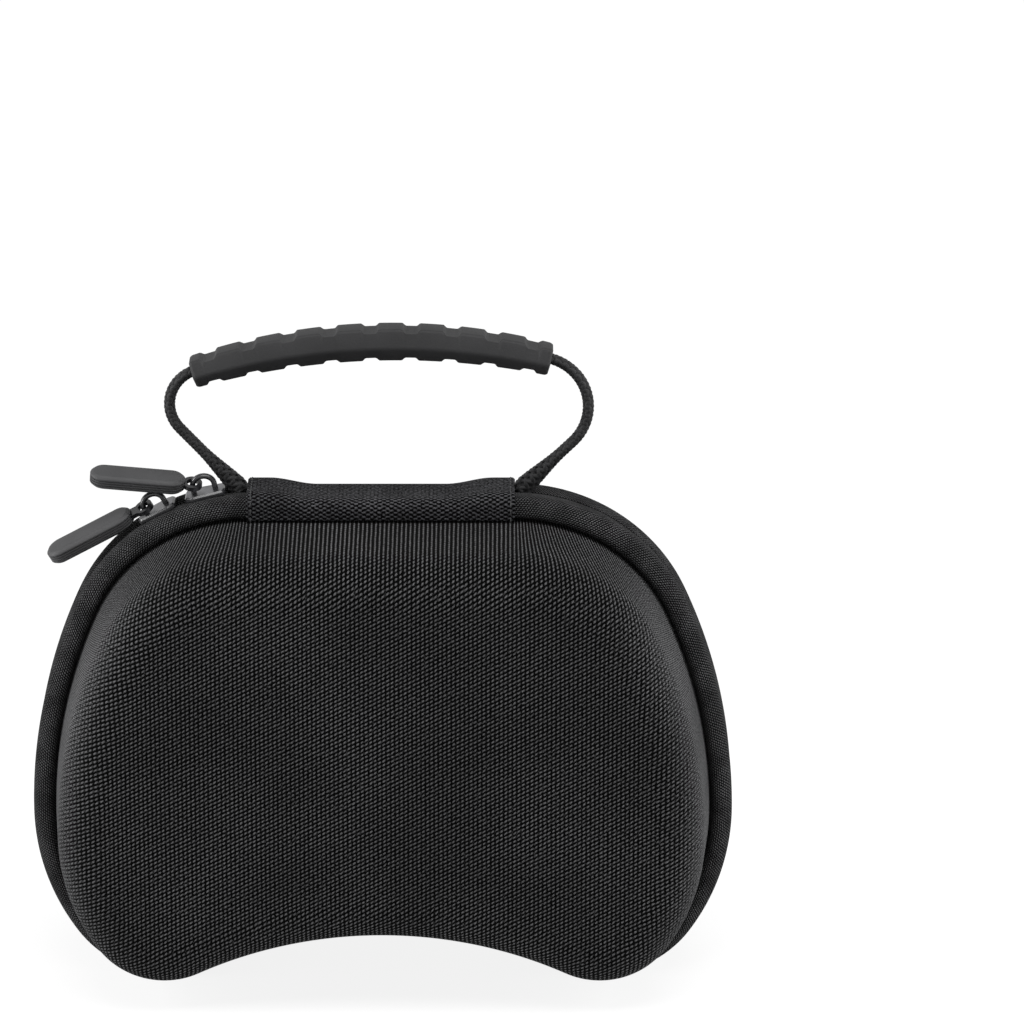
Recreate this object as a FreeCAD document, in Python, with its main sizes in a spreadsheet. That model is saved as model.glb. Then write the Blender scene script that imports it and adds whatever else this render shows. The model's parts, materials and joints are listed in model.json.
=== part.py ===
import FreeCAD, Part
import math
import os

import Sketcher

Vector = FreeCAD.Vector
Rotation = FreeCAD.Rotation
Placement = FreeCAD.Placement

# Frame: X to the right, Z up, the front of the case towards -Y.
# Origin: under the middle of the case, on the surface it stands on.

DRIVING_SIZES = [
    # outline of the case, seen from the front
    ("case_width", 180.0),
    ("case_height", 131.0),
    ("widest_height", 46.0),
    ("shoulder_radius", 48.0),
    ("side_upper_radius", 137.0),
    ("side_lower_radius", 59.0),
    ("lobe_radius", 28.5),
    ("waist_height", 12.6),
    # moulded shells
    ("shell_depth", 36.6),
    ("shell_wall", 3.4),
    ("shell_draft", 5.0),
    ("face_radius", 12.0),
    ("parting_gap", 0.35),
    # zip tapes and coil
    ("band_thickness", 5.0),
    ("band_width", 8.2),
    ("band_radius", 3.2),
    ("sewn_gap", 0.15),
    ("tape_thickness", 1.0),
    ("channel_width", 3.8),
    ("coil_thickness", 1.4),
    ("coil_width", 1.6),
    # fabric spine between the ends of the zip
    ("strip_end_inset", 0.34),
    ("strip_rise", 1.7),
    ("strip_ramp_share", 0.357),
    ("strip_end_flat", 5.6),
    ("fit_gap", 0.3),
    # zip sliders
    ("slider_length", 10.4),
    ("slider_mouth_width", 8.4),
    ("slider_tail_width", 6.6),
    ("slider_plate", 1.2),
    ("slider_neck", 0.4),
    ("slider_neck_length", 3.0),
    ("lower_plate_width", 6.4),
    ("lower_plate_depth", 4.2),
    ("bridge_radius", 2.8),
    ("bridge_height", 2.7),
    ("bridge_wire", 1.3),
    ("bridge_width", 2.0),
    ("upper_slider_angle", 12.95),
    ("lower_slider_angle", 28.4),
    ("upper_pull_slope", -5.0),
    ("lower_pull_slope", 28.4),
    ("pull_roll", 17.0),
    # zip pulls
    ("eye_outer_radius", 2.5),
    ("eye_hole_radius", 1.5),
    ("pull_plate_thickness", 1.2),
    ("tongue_width", 3.2),
    ("tongue_end", 13.0),
    ("tab_start", 6.6),
    ("tab_length", 24.0),
    ("tab_width", 7.4),
    ("tab_thickness", 3.8),
    ("tab_bevel", 0.9),
    ("slot_gap", 0.05),
    # handle
    ("grip_arc_radius", 166.0),
    ("grip_mid_x", -2.4),
    ("grip_end_rise", 33.89),
    ("grip_lean", 2.1),
    ("grip_overhang", 8.84),
    ("grip_height", 8.8),
    ("grip_flat_width", 6.8),
    ("grip_ridge_width", 10.6),
    ("grip_edge_chamfer", 0.55),
    ("notch_radius", 2.5),
    ("notch_depth", 1.3),
    ("notch_end_inset", 5.0),
    ("cord_diameter", 2.8),
    ("cord_gap", 0.1),
    ("loop_overhang", 8.42),
    ("left_loop_radius", 11.2),
    ("right_loop_radius", 13.2),
    ("cord_end_half_width", 2.6),
    ("cord_end_half_thickness", 1.1),
]
NOTCHES = 9
BAND_COUNT = 3
TOLERANCE = 1e-4

# Worked out from the driving sizes.
DERIVED_SIZES = [
    (
        "lobe_centre_x",
        "=case_width / 2 - side_lower_radius + sqrt("
        "(side_lower_radius - lobe_radius)^2 - (widest_height - lobe_radius)^2)",
    ),
    (
        "base_radius",
        "=(lobe_centre_x^2 + (lobe_radius - waist_height)^2 - lobe_radius^2) / (2 * waist_height)",
    ),
    (
        "shoulder_centre_x",
        "=case_width / 2 - side_upper_radius + sqrt("
        "(side_upper_radius - shoulder_radius)^2"
        " - (case_height - shoulder_radius - widest_height)^2)",
    ),
    ("roll_chamfer", "=(2 - sqrt(2)) * band_radius"),
    ("strip_half_length", "=shoulder_centre_x - strip_end_inset"),
    ("strip_ramp", "=strip_ramp_share * strip_half_length"),
    ("pivot_height", "=case_height + fit_gap + cord_end_half_thickness"),
    ("cord_end_x", "=strip_half_length + fit_gap + cord_end_half_width"),
    ("grip_half_angle", "=asin((cord_end_x + grip_overhang) / grip_arc_radius) / 1 deg"),
    ("loop_half_angle", "=asin((cord_end_x + loop_overhang) / grip_arc_radius) / 1 deg"),
    ("grip_mid_rise", "=grip_end_rise + grip_arc_radius * (1 - cos(grip_half_angle * 1 deg))"),
    (
        "notch_step",
        "=(grip_half_angle - asin(notch_end_inset / grip_arc_radius) / 1 deg)"
        f" / {(NOTCHES - 1) / 2}",
    ),
]

doc = FreeCAD.newDocument("carrying_case")
sheet = doc.addObject("Spreadsheet::Sheet", "Sizes")
for row, (alias, content) in enumerate(DRIVING_SIZES + DERIVED_SIZES, start=1):
    sheet.set(f"A{row}", alias)
    sheet.set(f"B{row}", str(content))
    sheet.setAlias(f"B{row}", alias)
doc.recompute()


def size(alias):
    value = sheet.get(alias)
    return float(getattr(value, "Value", value))


def new_body(label):
    body = doc.addObject("PartDesign::Body", label)
    body.Label = label
    return body


def body_plane(body, role):
    return next(f for f in body.Origin.OriginFeatures if f.Role == role)


def new_sketch(body, name, plane, offset=None):
    """A sketch on one of the body's own planes, moved along its normal by an expression."""
    sketch = body.newObject("Sketcher::SketchObject", f"{body.Label}_{name}")
    sketch.AttachmentSupport = [(body_plane(body, plane), "")]
    sketch.MapMode = "FlatFace"
    if offset:
        sketch.setExpression("AttachmentOffset.Base.z", offset)
    return sketch


def worked_out(item, expression):
    value = item.evalExpression(expression)
    return float(getattr(value, "Value", value))


def constrain(sketch, kind, *where, to=None):
    """Adds a constraint; with to, an expression drives its value."""
    if to is None:
        return sketch.addConstraint(Sketcher.Constraint(kind, *where))
    value = worked_out(sketch, to)
    index = sketch.addConstraint(Sketcher.Constraint(kind, *where, value))
    sketch.setExpression(f"Constraints[{index}]", to)
    return index


def pad(body, sketch, name, length, back=False, both_sides=False):
    feature = body.newObject("PartDesign::Pad", f"{body.Label}_{name}")
    feature.Profile = sketch
    feature.Reversed = back
    if both_sides:
        feature.SideType = "Symmetric"
    feature.setExpression("Length", length)
    sketch.Visibility = False
    return feature


def pocket(body, sketch, name, length, back=False, both_sides=False):
    feature = body.newObject("PartDesign::Pocket", f"{body.Label}_{name}")
    feature.Profile = sketch
    feature.Reversed = back
    if both_sides:
        feature.SideType = "Symmetric"
    feature.setExpression("Length", length)
    sketch.Visibility = False
    doc.recompute()
    if feature.Shape.isNull():
        raise RuntimeError(f"{feature.Name} failed: {feature.State} {sketch.State}")
    if feature.Shape.Volume > feature.BaseFeature.Shape.Volume - TOLERANCE:
        raise RuntimeError(f"{feature.Name} cuts nothing")
    return feature


def edge_names(shape, wanted):
    """Names of the edges whose middle point passes the test."""
    names = []
    for number, edge in enumerate(shape.Edges, start=1):
        if edge.Length < TOLERANCE:
            continue
        middle = edge.valueAt((edge.FirstParameter + edge.LastParameter) / 2)
        if wanted(middle, edge):
            names.append(f"Edge{number}")
    return names


def fillet(body, name, radius, wanted):
    doc.recompute()
    base = body.Tip
    feature = body.newObject("PartDesign::Fillet", f"{body.Label}_{name}")
    feature.Base = (base, edge_names(base.Shape, wanted))
    feature.setExpression("Radius", radius)
    return feature


def chamfer(body, name, depth, wanted):
    doc.recompute()
    base = body.Tip
    feature = body.newObject("PartDesign::Chamfer", f"{body.Label}_{name}")
    feature.Base = (base, edge_names(base.Shape, wanted))
    feature.setExpression("Size", depth)
    return feature


# Outline of the case: a flat top, round shoulders, sides of two radii, two lobes
# and a hollow base. Every edge is tangent to the next, and an inset keeps the centres.


def add_outline(sketch, inset):
    """Draws the case outline, moved inwards by the inset, and constrains it to the sheet."""
    moved = worked_out(sketch, inset)
    widest = size("widest_height")
    shoulder = size("shoulder_radius")
    upper = size("side_upper_radius")
    lower = size("side_lower_radius")
    lobe = size("lobe_radius")
    base = size("base_radius")
    upper_x = size("case_width") / 2 - upper
    lower_x = size("case_width") / 2 - lower
    lobe_x = size("lobe_centre_x")
    shoulder_z = size("case_height") - shoulder
    shoulder_x = size("shoulder_centre_x")
    base_z = size("waist_height") - base
    top_turn = math.atan2(shoulder_z - widest, shoulder_x - upper_x)
    lobe_turn = math.atan2(widest - lobe, lobe_x - lower_x)
    waist_turn = math.atan2(lobe - base_z, lobe_x)

    def arc(x, z, radius, start, end):
        circle = Part.Circle(Vector(x, z, 0), Vector(0, 0, 1), radius)
        return sketch.addGeometry(Part.ArcOfCircle(circle, start, end))

    turn = math.pi
    top = sketch.addGeometry(
        Part.LineSegment(
            Vector(-shoulder_x, size("case_height") - moved, 0),
            Vector(shoulder_x, size("case_height") - moved, 0),
        )
    )
    shoulder_r = arc(shoulder_x, shoulder_z, shoulder - moved, top_turn, turn / 2)
    upper_r = arc(upper_x, widest, upper - moved, 0, top_turn)
    lower_r = arc(lower_x, widest, lower - moved, -lobe_turn, 0)
    lobe_r = arc(lobe_x, lobe, lobe - moved, waist_turn - turn, -lobe_turn)
    hollow = arc(0, base_z, base + moved, waist_turn, turn - waist_turn)
    lobe_l = arc(-lobe_x, lobe, lobe - moved, turn + lobe_turn, 2 * turn - waist_turn)
    lower_l = arc(-lower_x, widest, lower - moved, turn, turn + lobe_turn)
    upper_l = arc(-upper_x, widest, upper - moved, turn - top_turn, turn)
    shoulder_l = arc(-shoulder_x, shoulder_z, shoulder - moved, turn / 2, turn - top_turn)

    # end of one edge to start of the next, in the order of the list
    start, end, centre = 1, 2, 3
    joints = [
        (top, end, shoulder_r, end),
        (shoulder_r, start, upper_r, end),
        (upper_r, start, lower_r, end),
        (lower_r, start, lobe_r, end),
        (lobe_r, start, hollow, start),
        (hollow, end, lobe_l, end),
        (lobe_l, start, lower_l, end),
        (lower_l, start, upper_l, end),
        (upper_l, start, shoulder_l, end),
        (shoulder_l, start, top, start),
    ]
    for joint in joints:
        constrain(sketch, "Tangent", *joint)
    constrain(sketch, "Horizontal", top)
    constrain(sketch, "DistanceY", -1, 1, top, 1, to=f"Sizes.case_height - {inset}")
    constrain(sketch, "Radius", shoulder_r, to=f"Sizes.shoulder_radius - {inset}")
    constrain(sketch, "Radius", upper_r, to=f"Sizes.side_upper_radius - {inset}")
    constrain(sketch, "Radius", lower_r, to=f"Sizes.side_lower_radius - {inset}")
    constrain(sketch, "Radius", lobe_r, to=f"Sizes.lobe_radius - {inset}")
    constrain(sketch, "Radius", hollow, to=f"Sizes.base_radius + {inset}")
    for right, left in [
        (shoulder_r, shoulder_l),
        (upper_r, upper_l),
        (lower_r, lower_l),
        (lobe_r, lobe_l),
    ]:
        constrain(sketch, "Equal", right, left)
    constrain(
        sketch, "DistanceX", -1, 1, lower_r, centre, to="Sizes.case_width / 2 - Sizes.side_lower_radius"
    )
    constrain(sketch, "DistanceY", -1, 1, lower_r, centre, to="Sizes.widest_height")
    constrain(sketch, "DistanceY", -1, 1, upper_r, centre, to="Sizes.widest_height")
    constrain(sketch, "DistanceY", -1, 1, lobe_r, centre, to="Sizes.lobe_radius")
    constrain(sketch, "PointOnObject", hollow, centre, -2)
    for right, left in [(upper_r, upper_l), (lower_r, lower_l), (lobe_r, lobe_l)]:
        constrain(sketch, "Horizontal", right, centre, left, centre)


def add_rectangle(sketch, half_width, low, high):
    """A rectangle centred on the sketch's vertical axis, between two heights."""
    corners = [(-1, 0), (1, 0), (1, 1), (-1, 1)]
    lines = []
    for number, (x, y) in enumerate(corners):
        ahead_x, ahead_y = corners[(number + 1) % 4]
        lines.append(
            sketch.addGeometry(Part.LineSegment(Vector(x, y, 0), Vector(ahead_x, ahead_y, 0)))
        )
    for number, line in enumerate(lines):
        constrain(sketch, "Coincident", line, 2, lines[(number + 1) % 4], 1)
    bottom, right, top, left = lines
    constrain(sketch, "Vertical", right)
    constrain(sketch, "Horizontal", top)
    constrain(sketch, "Symmetric", bottom, 1, bottom, 2, -2)
    constrain(sketch, "Vertical", left)
    constrain(sketch, "DistanceX", -1, 1, bottom, 2, to=half_width)
    constrain(sketch, "DistanceY", -1, 1, bottom, 1, to=low)
    constrain(sketch, "DistanceY", -1, 1, top, 1, to=high)
    return lines


def add_loop(sketch, points):
    """A closed chain of lines whose corners are tied to expressions, as (x, y) pairs."""
    values = [(worked_out(sketch, x), worked_out(sketch, y)) for x, y in points]
    lines = []
    for number, (x, y) in enumerate(values):
        ahead = values[(number + 1) % len(values)]
        lines.append(
            sketch.addGeometry(Part.LineSegment(Vector(x, y, 0), Vector(ahead[0], ahead[1], 0)))
        )
    for number, line in enumerate(lines):
        constrain(sketch, "Coincident", line, 2, lines[(number + 1) % len(lines)], 1)
    for line, (x, y) in zip(lines, points):
        constrain(sketch, "DistanceX", -1, 1, line, 1, to=x)
        constrain(sketch, "DistanceY", -1, 1, line, 1, to=y)
    return lines


# Moulded shells: a drafted wall, then the face's round edge laid out in flat bands. The
# cavity follows it with one band, so that the wall is nowhere thinner than its size.


def loft(body, kind, name, sections):
    feature = body.newObject(f"PartDesign::{kind}", f"{body.Label}_{name}")
    feature.Profile = sections[0]
    feature.Sections = sections[1:]
    feature.Ruled = True
    for section in sections:
        section.Visibility = False
    return feature


def edge_section(inset, depth, radius, share):
    """Inset and depth of a point on the face's round edge, from the wall (0) to the face (1)."""
    draft = "Sizes.shell_draft"
    turn = f"({draft} + (90 - {draft}) * {share}) * 1 deg"
    corner = f"{inset} + {depth} * tan({draft} * 1 deg)"
    reach = f"{radius} * tan((90 - {draft}) / 2 * 1 deg)"
    return (
        f"({corner} + {reach} - {radius} * cos({turn}))",
        f"({depth} - {radius} + {radius} * sin({turn}))",
    )


def make_shell(label):
    body = new_body(label)
    for name, kind, wall, bands in (
        ("moulding", "AdditiveLoft", "0 * Sizes.shell_wall", BAND_COUNT),
        ("cavity", "SubtractiveLoft", "Sizes.shell_wall", 1),
    ):
        inset = f"(Sizes.band_thickness + {wall})"
        depth = f"(Sizes.shell_depth - {wall})"
        radius = f"(Sizes.face_radius - {wall})"
        rim = new_sketch(body, f"{name}_rim", "XZ_Plane", "Sizes.parting_gap")
        add_outline(rim, inset)
        sections = [rim]
        for band in range(bands + 1):
            moved, far = edge_section(inset, depth, radius, f"{band} / {bands}")
            section = new_sketch(
                body, f"{name}_edge_{band}", "XZ_Plane", f"Sizes.parting_gap + {far}"
            )
            add_outline(section, moved)
            sections.append(section)
        loft(body, kind, name, sections)
    return body


# Zip tapes: a thin wing beside the coil that thickens into the roll sewn round the rim.


def cut_for_strip(body, name):
    """Ends the ring where the fabric spine starts."""
    sketch = new_sketch(body, name, "XZ_Plane")
    add_rectangle(
        sketch,
        "Sizes.strip_half_length + Sizes.fit_gap",
        "Sizes.case_height / 2",
        "Sizes.case_height + Sizes.strip_rise",
    )
    pocket(body, sketch, f"{name}_cut", "Sizes.parting_gap + 2 * Sizes.band_width", back=True)


def make_tape(label):
    body = new_body(label)
    ring = new_sketch(body, "ring", "XZ_Plane", "Sizes.parting_gap")
    add_outline(ring, "0 * Sizes.case_width")
    add_outline(ring, "(Sizes.band_thickness - Sizes.sewn_gap)")
    pad(body, ring, "roll", "Sizes.band_width")
    channel = new_sketch(body, "channel", "XZ_Plane", "Sizes.parting_gap")
    add_outline(channel, "Sizes.tape_thickness")
    add_outline(channel, "(Sizes.band_thickness + Sizes.sewn_gap)")
    pocket(body, channel, "coil_channel", "Sizes.channel_width", back=True)
    doc.recompute()
    edge_y = size("parting_gap") + size("band_width")
    shape = body.Tip.Shape
    rim = next(f for f in shape.Faces if abs(abs(f.CenterOfMass.y) - edge_y) < TOLERANCE)
    outer_edges = rim.OuterWire.Edges

    def outer_edge(middle, edge):
        return any(edge.isSame(other) for other in outer_edges)

    chamfer(body, "roll_edge", "Sizes.roll_chamfer", outer_edge)
    cut_for_strip(body, "strip_gap")
    return body


def make_coil(label):
    body = new_body(label)
    ring = new_sketch(body, "ring", "XZ_Plane", "Sizes.parting_gap")
    add_outline(ring, "(Sizes.tape_thickness + Sizes.sewn_gap)")
    add_outline(ring, "(Sizes.tape_thickness + Sizes.sewn_gap + Sizes.coil_thickness)")
    pad(body, ring, "coil", "Sizes.coil_width")
    cut_for_strip(body, "strip_gap")
    return body


# Fabric spine: the hinge of the two shells, padded at both ends over the handle cord.


def make_strip(label):
    body = new_body(label)
    profile = new_sketch(body, "profile", "XZ_Plane")
    half = size("strip_half_length")
    top = size("case_height")
    rise = size("strip_rise")
    bottom = top - size("band_thickness") + size("sewn_gap")
    flat = half - size("strip_end_flat")
    ramp = flat - size("strip_ramp")
    middle = (flat + ramp) / 2
    radius = (size("strip_ramp") ** 2 + rise**2) / (4 * rise)
    quarter = size("strip_ramp") / 4
    sag = radius - math.sqrt(radius**2 - quarter**2)

    def line(x0, z0, x1, z1):
        return profile.addGeometry(Part.LineSegment(Vector(x0, z0, 0), Vector(x1, z1, 0)))

    def bend(*points):
        """Arc through three points; tells which of its ends lies nearer to the middle."""
        arc = profile.addGeometry(Part.Arc(*[Vector(x, z, 0) for x, z in points]))
        reach = [abs(profile.getPoint(arc, end).x) for end in (1, 2)]
        return arc, (1, 2) if reach[0] < reach[1] else (2, 1)

    dip = line(-ramp, top, ramp, top)
    base = line(half, bottom, -half, bottom)
    constrain(profile, "Horizontal", dip)
    constrain(profile, "Horizontal", base)
    constrain(profile, "DistanceY", -1, 1, dip, 1, to="Sizes.case_height")
    constrain(
        profile,
        "DistanceY",
        -1,
        1,
        base,
        1,
        to="Sizes.case_height - Sizes.band_thickness + Sizes.sewn_gap",
    )
    for side in (1, -1):
        low, (low_in, low_out) = bend(
            (side * ramp, top), (side * (ramp + quarter), top + sag), (side * middle, top + rise / 2)
        )
        high, (high_in, high_out) = bend(
            (side * middle, top + rise / 2),
            (side * (flat - quarter), top + rise - sag),
            (side * flat, top + rise),
        )
        crest = line(side * flat, top + rise, side * half, top + rise)
        end = line(side * half, top + rise, side * half, bottom)
        constrain(profile, "Tangent", dip, 2 if side > 0 else 1, low, low_in)
        constrain(profile, "Tangent", low, low_out, high, high_in)
        constrain(profile, "Tangent", high, high_out, crest, 1)
        constrain(profile, "Coincident", crest, 2, end, 1)
        constrain(profile, "Coincident", end, 2, base, 1 if side > 0 else 2)
        constrain(profile, "Equal", low, high)
        constrain(profile, "Horizontal", crest)
        constrain(profile, "Vertical", end)
        for edge, point, reach in (
            (dip, 2 if side > 0 else 1, "- Sizes.strip_end_flat - Sizes.strip_ramp"),
            (crest, 1, "- Sizes.strip_end_flat"),
            (crest, 2, ""),
        ):
            constrain(
                profile,
                "DistanceX",
                -1,
                1,
                edge,
                point,
                to=f"{side} * (Sizes.strip_half_length {reach})",
            )
        constrain(
            profile, "DistanceY", -1, 1, crest, 1, to="Sizes.case_height + Sizes.strip_rise"
        )
    pad(
        body,
        profile,
        "spine",
        "2 * (Sizes.band_width + Sizes.parting_gap)",
        both_sides=True,
    )
    edge_y = size("band_width") + size("parting_gap")
    chamfer(
        body,
        "long_edges",
        "Sizes.roll_chamfer",
        lambda point, edge: abs(abs(point.y) - edge_y) < TOLERANCE and point.z > top - TOLERANCE,
    )
    return body


def mirror_to_back(front, label):
    """The same piece behind the parting plane."""
    mirrored = doc.addObject("Part::Mirroring", label)
    mirrored.Source = front
    mirrored.Normal = Vector(0, 1, 0)
    mirrored.Label = label
    return mirrored


for piece, make in (("shell", make_shell), ("tape", make_tape), ("coil", make_coil)):
    stem = piece if piece == "shell" else f"zip_{piece}"
    front_label = f"front_{stem}" if piece == "shell" else f"{stem}_front"
    back_label = front_label.replace("front", "back")
    mirror_to_back(make(front_label), back_label)
hinge_strip = make_strip("hinge_strip")

# Zip sliders. Local frame of each: X along the chain, away from the hinge end,
# Z outwards from the band, origin on the band's outer surface.


def make_slider(label, mouth_ahead):
    body = new_body(label)
    ahead = 1 if mouth_ahead else -1
    top = new_sketch(body, "top_outline", "XY_Plane", "Sizes.fit_gap")
    wide = "Sizes.slider_mouth_width / 2"
    thin = "Sizes.slider_tail_width / 2"
    reach = "Sizes.slider_length / 2"
    add_loop(
        top,
        [
            (f"{ahead} * {reach}", f"-{wide} * 0.72"),
            (f"{ahead} * {reach} * 0.62", f"-{wide}"),
            (f"{-ahead} * {reach}", f"-{thin}"),
            (f"{-ahead} * {reach}", thin),
            (f"{ahead} * {reach} * 0.62", wide),
            (f"{ahead} * {reach}", f"{wide} * 0.72"),
        ],
    )
    pad(body, top, "top_plate", "Sizes.slider_plate")
    fillet(
        body,
        "corners",
        "Sizes.slider_plate",
        lambda middle, edge: abs(edge.tangentAt(edge.FirstParameter).z) > 0.99,
    )
    crest = size("fit_gap") + size("slider_plate")
    chamfer(
        body,
        "top_edge",
        "0.35 * Sizes.slider_plate",
        lambda middle, edge: abs(middle.z - crest) < TOLERANCE,
    )
    neck = new_sketch(body, "neck_outline", "XY_Plane", "Sizes.fit_gap")
    add_rectangle_at(
        neck,
        f"{ahead} * Sizes.slider_length / 4",
        "Sizes.slider_neck_length / 2",
        "Sizes.slider_neck / 2",
    )
    pad(body, neck, "neck", "Sizes.fit_gap + Sizes.lower_plate_depth", back=True)
    lower = new_sketch(body, "lower_outline", "XY_Plane", "-Sizes.lower_plate_depth")
    add_rectangle_at(
        lower, "0 * Sizes.case_width", "0.46 * Sizes.slider_length", "Sizes.lower_plate_width / 2"
    )
    pad(
        body,
        lower,
        "lower_plate",
        "Sizes.lower_plate_depth - Sizes.tape_thickness - Sizes.coil_thickness"
        " - 2 * Sizes.fit_gap - Sizes.sewn_gap",
    )
    return body


def add_rectangle_at(sketch, x, half_length, half_width):
    """A rectangle centred on the sketch's horizontal axis."""
    add_loop(
        sketch,
        [
            (f"{x} - {half_length}", f"-{half_width}"),
            (f"{x} + {half_length}", f"-{half_width}"),
            (f"{x} + {half_length}", half_width),
            (f"{x} - {half_length}", half_width),
        ],
    )


def make_bridge(label):
    """Arch that straddles the slider's plate: two legs and a half ring."""
    body = new_body(label)
    sketch = new_sketch(body, "arch", "XZ_Plane")
    foot = size("fit_gap") + size("slider_plate")
    outer = size("bridge_radius") + size("bridge_wire") / 2
    inner = size("bridge_radius") - size("bridge_wire") / 2
    height = foot + size("bridge_height") - size("slider_plate")
    rings = []
    for radius in (outer, inner):
        circle = Part.Circle(Vector(0, height, 0), Vector(0, 0, 1), radius)
        rings.append(sketch.addGeometry(Part.ArcOfCircle(circle, 0, math.pi)))
    legs = []
    for x0, z0, x1, z1 in [
        (inner, foot, outer, foot),
        (outer, foot, outer, height),
        (-outer, height, -outer, foot),
        (-outer, foot, -inner, foot),
        (-inner, foot, -inner, height),
        (inner, height, inner, foot),
    ]:
        legs.append(sketch.addGeometry(Part.LineSegment(Vector(x0, z0, 0), Vector(x1, z1, 0))))
    big, small = rings
    right_foot, right_out, left_out, left_foot, left_in, right_in = legs
    constrain(sketch, "Coincident", right_foot, 2, right_out, 1)
    constrain(sketch, "Tangent", right_out, 2, big, 1)
    constrain(sketch, "Tangent", big, 2, left_out, 1)
    constrain(sketch, "Coincident", left_out, 2, left_foot, 1)
    constrain(sketch, "Coincident", left_foot, 2, left_in, 1)
    constrain(sketch, "Tangent", left_in, 2, small, 2)
    constrain(sketch, "Tangent", small, 1, right_in, 1)
    constrain(sketch, "Coincident", right_in, 2, right_foot, 1)
    constrain(sketch, "Coincident", big, 3, small, 3)
    constrain(sketch, "PointOnObject", big, 3, -2)
    constrain(sketch, "Horizontal", right_foot)
    constrain(sketch, "Horizontal", left_foot)
    constrain(sketch, "Vertical", right_out)
    constrain(sketch, "Vertical", left_out)
    constrain(sketch, "Radius", big, to="Sizes.bridge_radius + Sizes.bridge_wire / 2")
    constrain(sketch, "Radius", small, to="Sizes.bridge_radius - Sizes.bridge_wire / 2")
    constrain(
        sketch, "DistanceY", -1, 1, right_foot, 1, to="Sizes.fit_gap + Sizes.slider_plate"
    )
    constrain(
        sketch, "DistanceY", -1, 1, left_foot, 1, to="Sizes.fit_gap + Sizes.slider_plate"
    )
    constrain(sketch, "DistanceY", -1, 1, big, 3, to="Sizes.fit_gap + Sizes.bridge_height")
    pad(body, sketch, "arch_pad", "Sizes.bridge_width", both_sides=True)
    return body


# Zip pulls. Local frame: origin in the middle of the bridge's arch, X along the pull.


def make_pull_plate(label):
    """Flat eye that rings the bridge, with a tongue moulded into the tab."""
    body = new_body(label)
    eye = new_sketch(body, "eye", "XY_Plane")
    disc = eye.addGeometry(Part.Circle(Vector(1, 0, 0), Vector(0, 0, 1), 1))
    constrain(eye, "PointOnObject", disc, 3, -1)
    constrain(eye, "DistanceX", -1, 1, disc, 3, to="Sizes.bridge_radius")
    constrain(eye, "Radius", disc, to="Sizes.eye_outer_radius")
    pad(body, eye, "disc", "Sizes.pull_plate_thickness", both_sides=True)
    tongue = new_sketch(body, "tongue", "XY_Plane")
    add_loop(
        tongue,
        [
            ("Sizes.bridge_radius", "-Sizes.tongue_width / 2"),
            ("Sizes.tongue_end", "-Sizes.tongue_width / 2"),
            ("Sizes.tongue_end", "Sizes.tongue_width / 2"),
            ("Sizes.bridge_radius", "Sizes.tongue_width / 2"),
        ],
    )
    pad(body, tongue, "tongue_pad", "Sizes.pull_plate_thickness", both_sides=True)
    hole = new_sketch(body, "hole", "XY_Plane")
    ring = hole.addGeometry(Part.Circle(Vector(1, 0, 0), Vector(0, 0, 1), 1))
    constrain(hole, "PointOnObject", ring, 3, -1)
    constrain(hole, "DistanceX", -1, 1, ring, 3, to="Sizes.bridge_radius")
    constrain(hole, "Radius", ring, to="Sizes.eye_hole_radius")
    pocket(body, hole, "eye_hole", "2 * Sizes.pull_plate_thickness", both_sides=True)
    return body


def make_pull_tab(label):
    """Moulded tab with round ends, bevelled faces and a slot for the plate's tongue."""
    body = new_body(label)
    outline = new_sketch(body, "outline", "XY_Plane")
    add_stadium(outline, "0 * Sizes.case_width")
    pad(body, outline, "tab", "Sizes.tab_thickness", both_sides=True)
    half = size("tab_thickness") / 2
    chamfer(
        body, "bevel", "Sizes.tab_bevel", lambda middle, edge: abs(abs(middle.z) - half) < TOLERANCE
    )
    slot = new_sketch(body, "slot", "XY_Plane")
    add_loop(
        slot,
        [
            ("Sizes.bridge_radius", "-Sizes.tongue_width / 2 - Sizes.slot_gap"),
            ("Sizes.tongue_end + Sizes.slot_gap", "-Sizes.tongue_width / 2 - Sizes.slot_gap"),
            ("Sizes.tongue_end + Sizes.slot_gap", "Sizes.tongue_width / 2 + Sizes.slot_gap"),
            ("Sizes.bridge_radius", "Sizes.tongue_width / 2 + Sizes.slot_gap"),
        ],
    )
    pocket(
        body,
        slot,
        "tongue_slot",
        "Sizes.pull_plate_thickness + 2 * Sizes.slot_gap",
        both_sides=True,
    )
    return body


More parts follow.
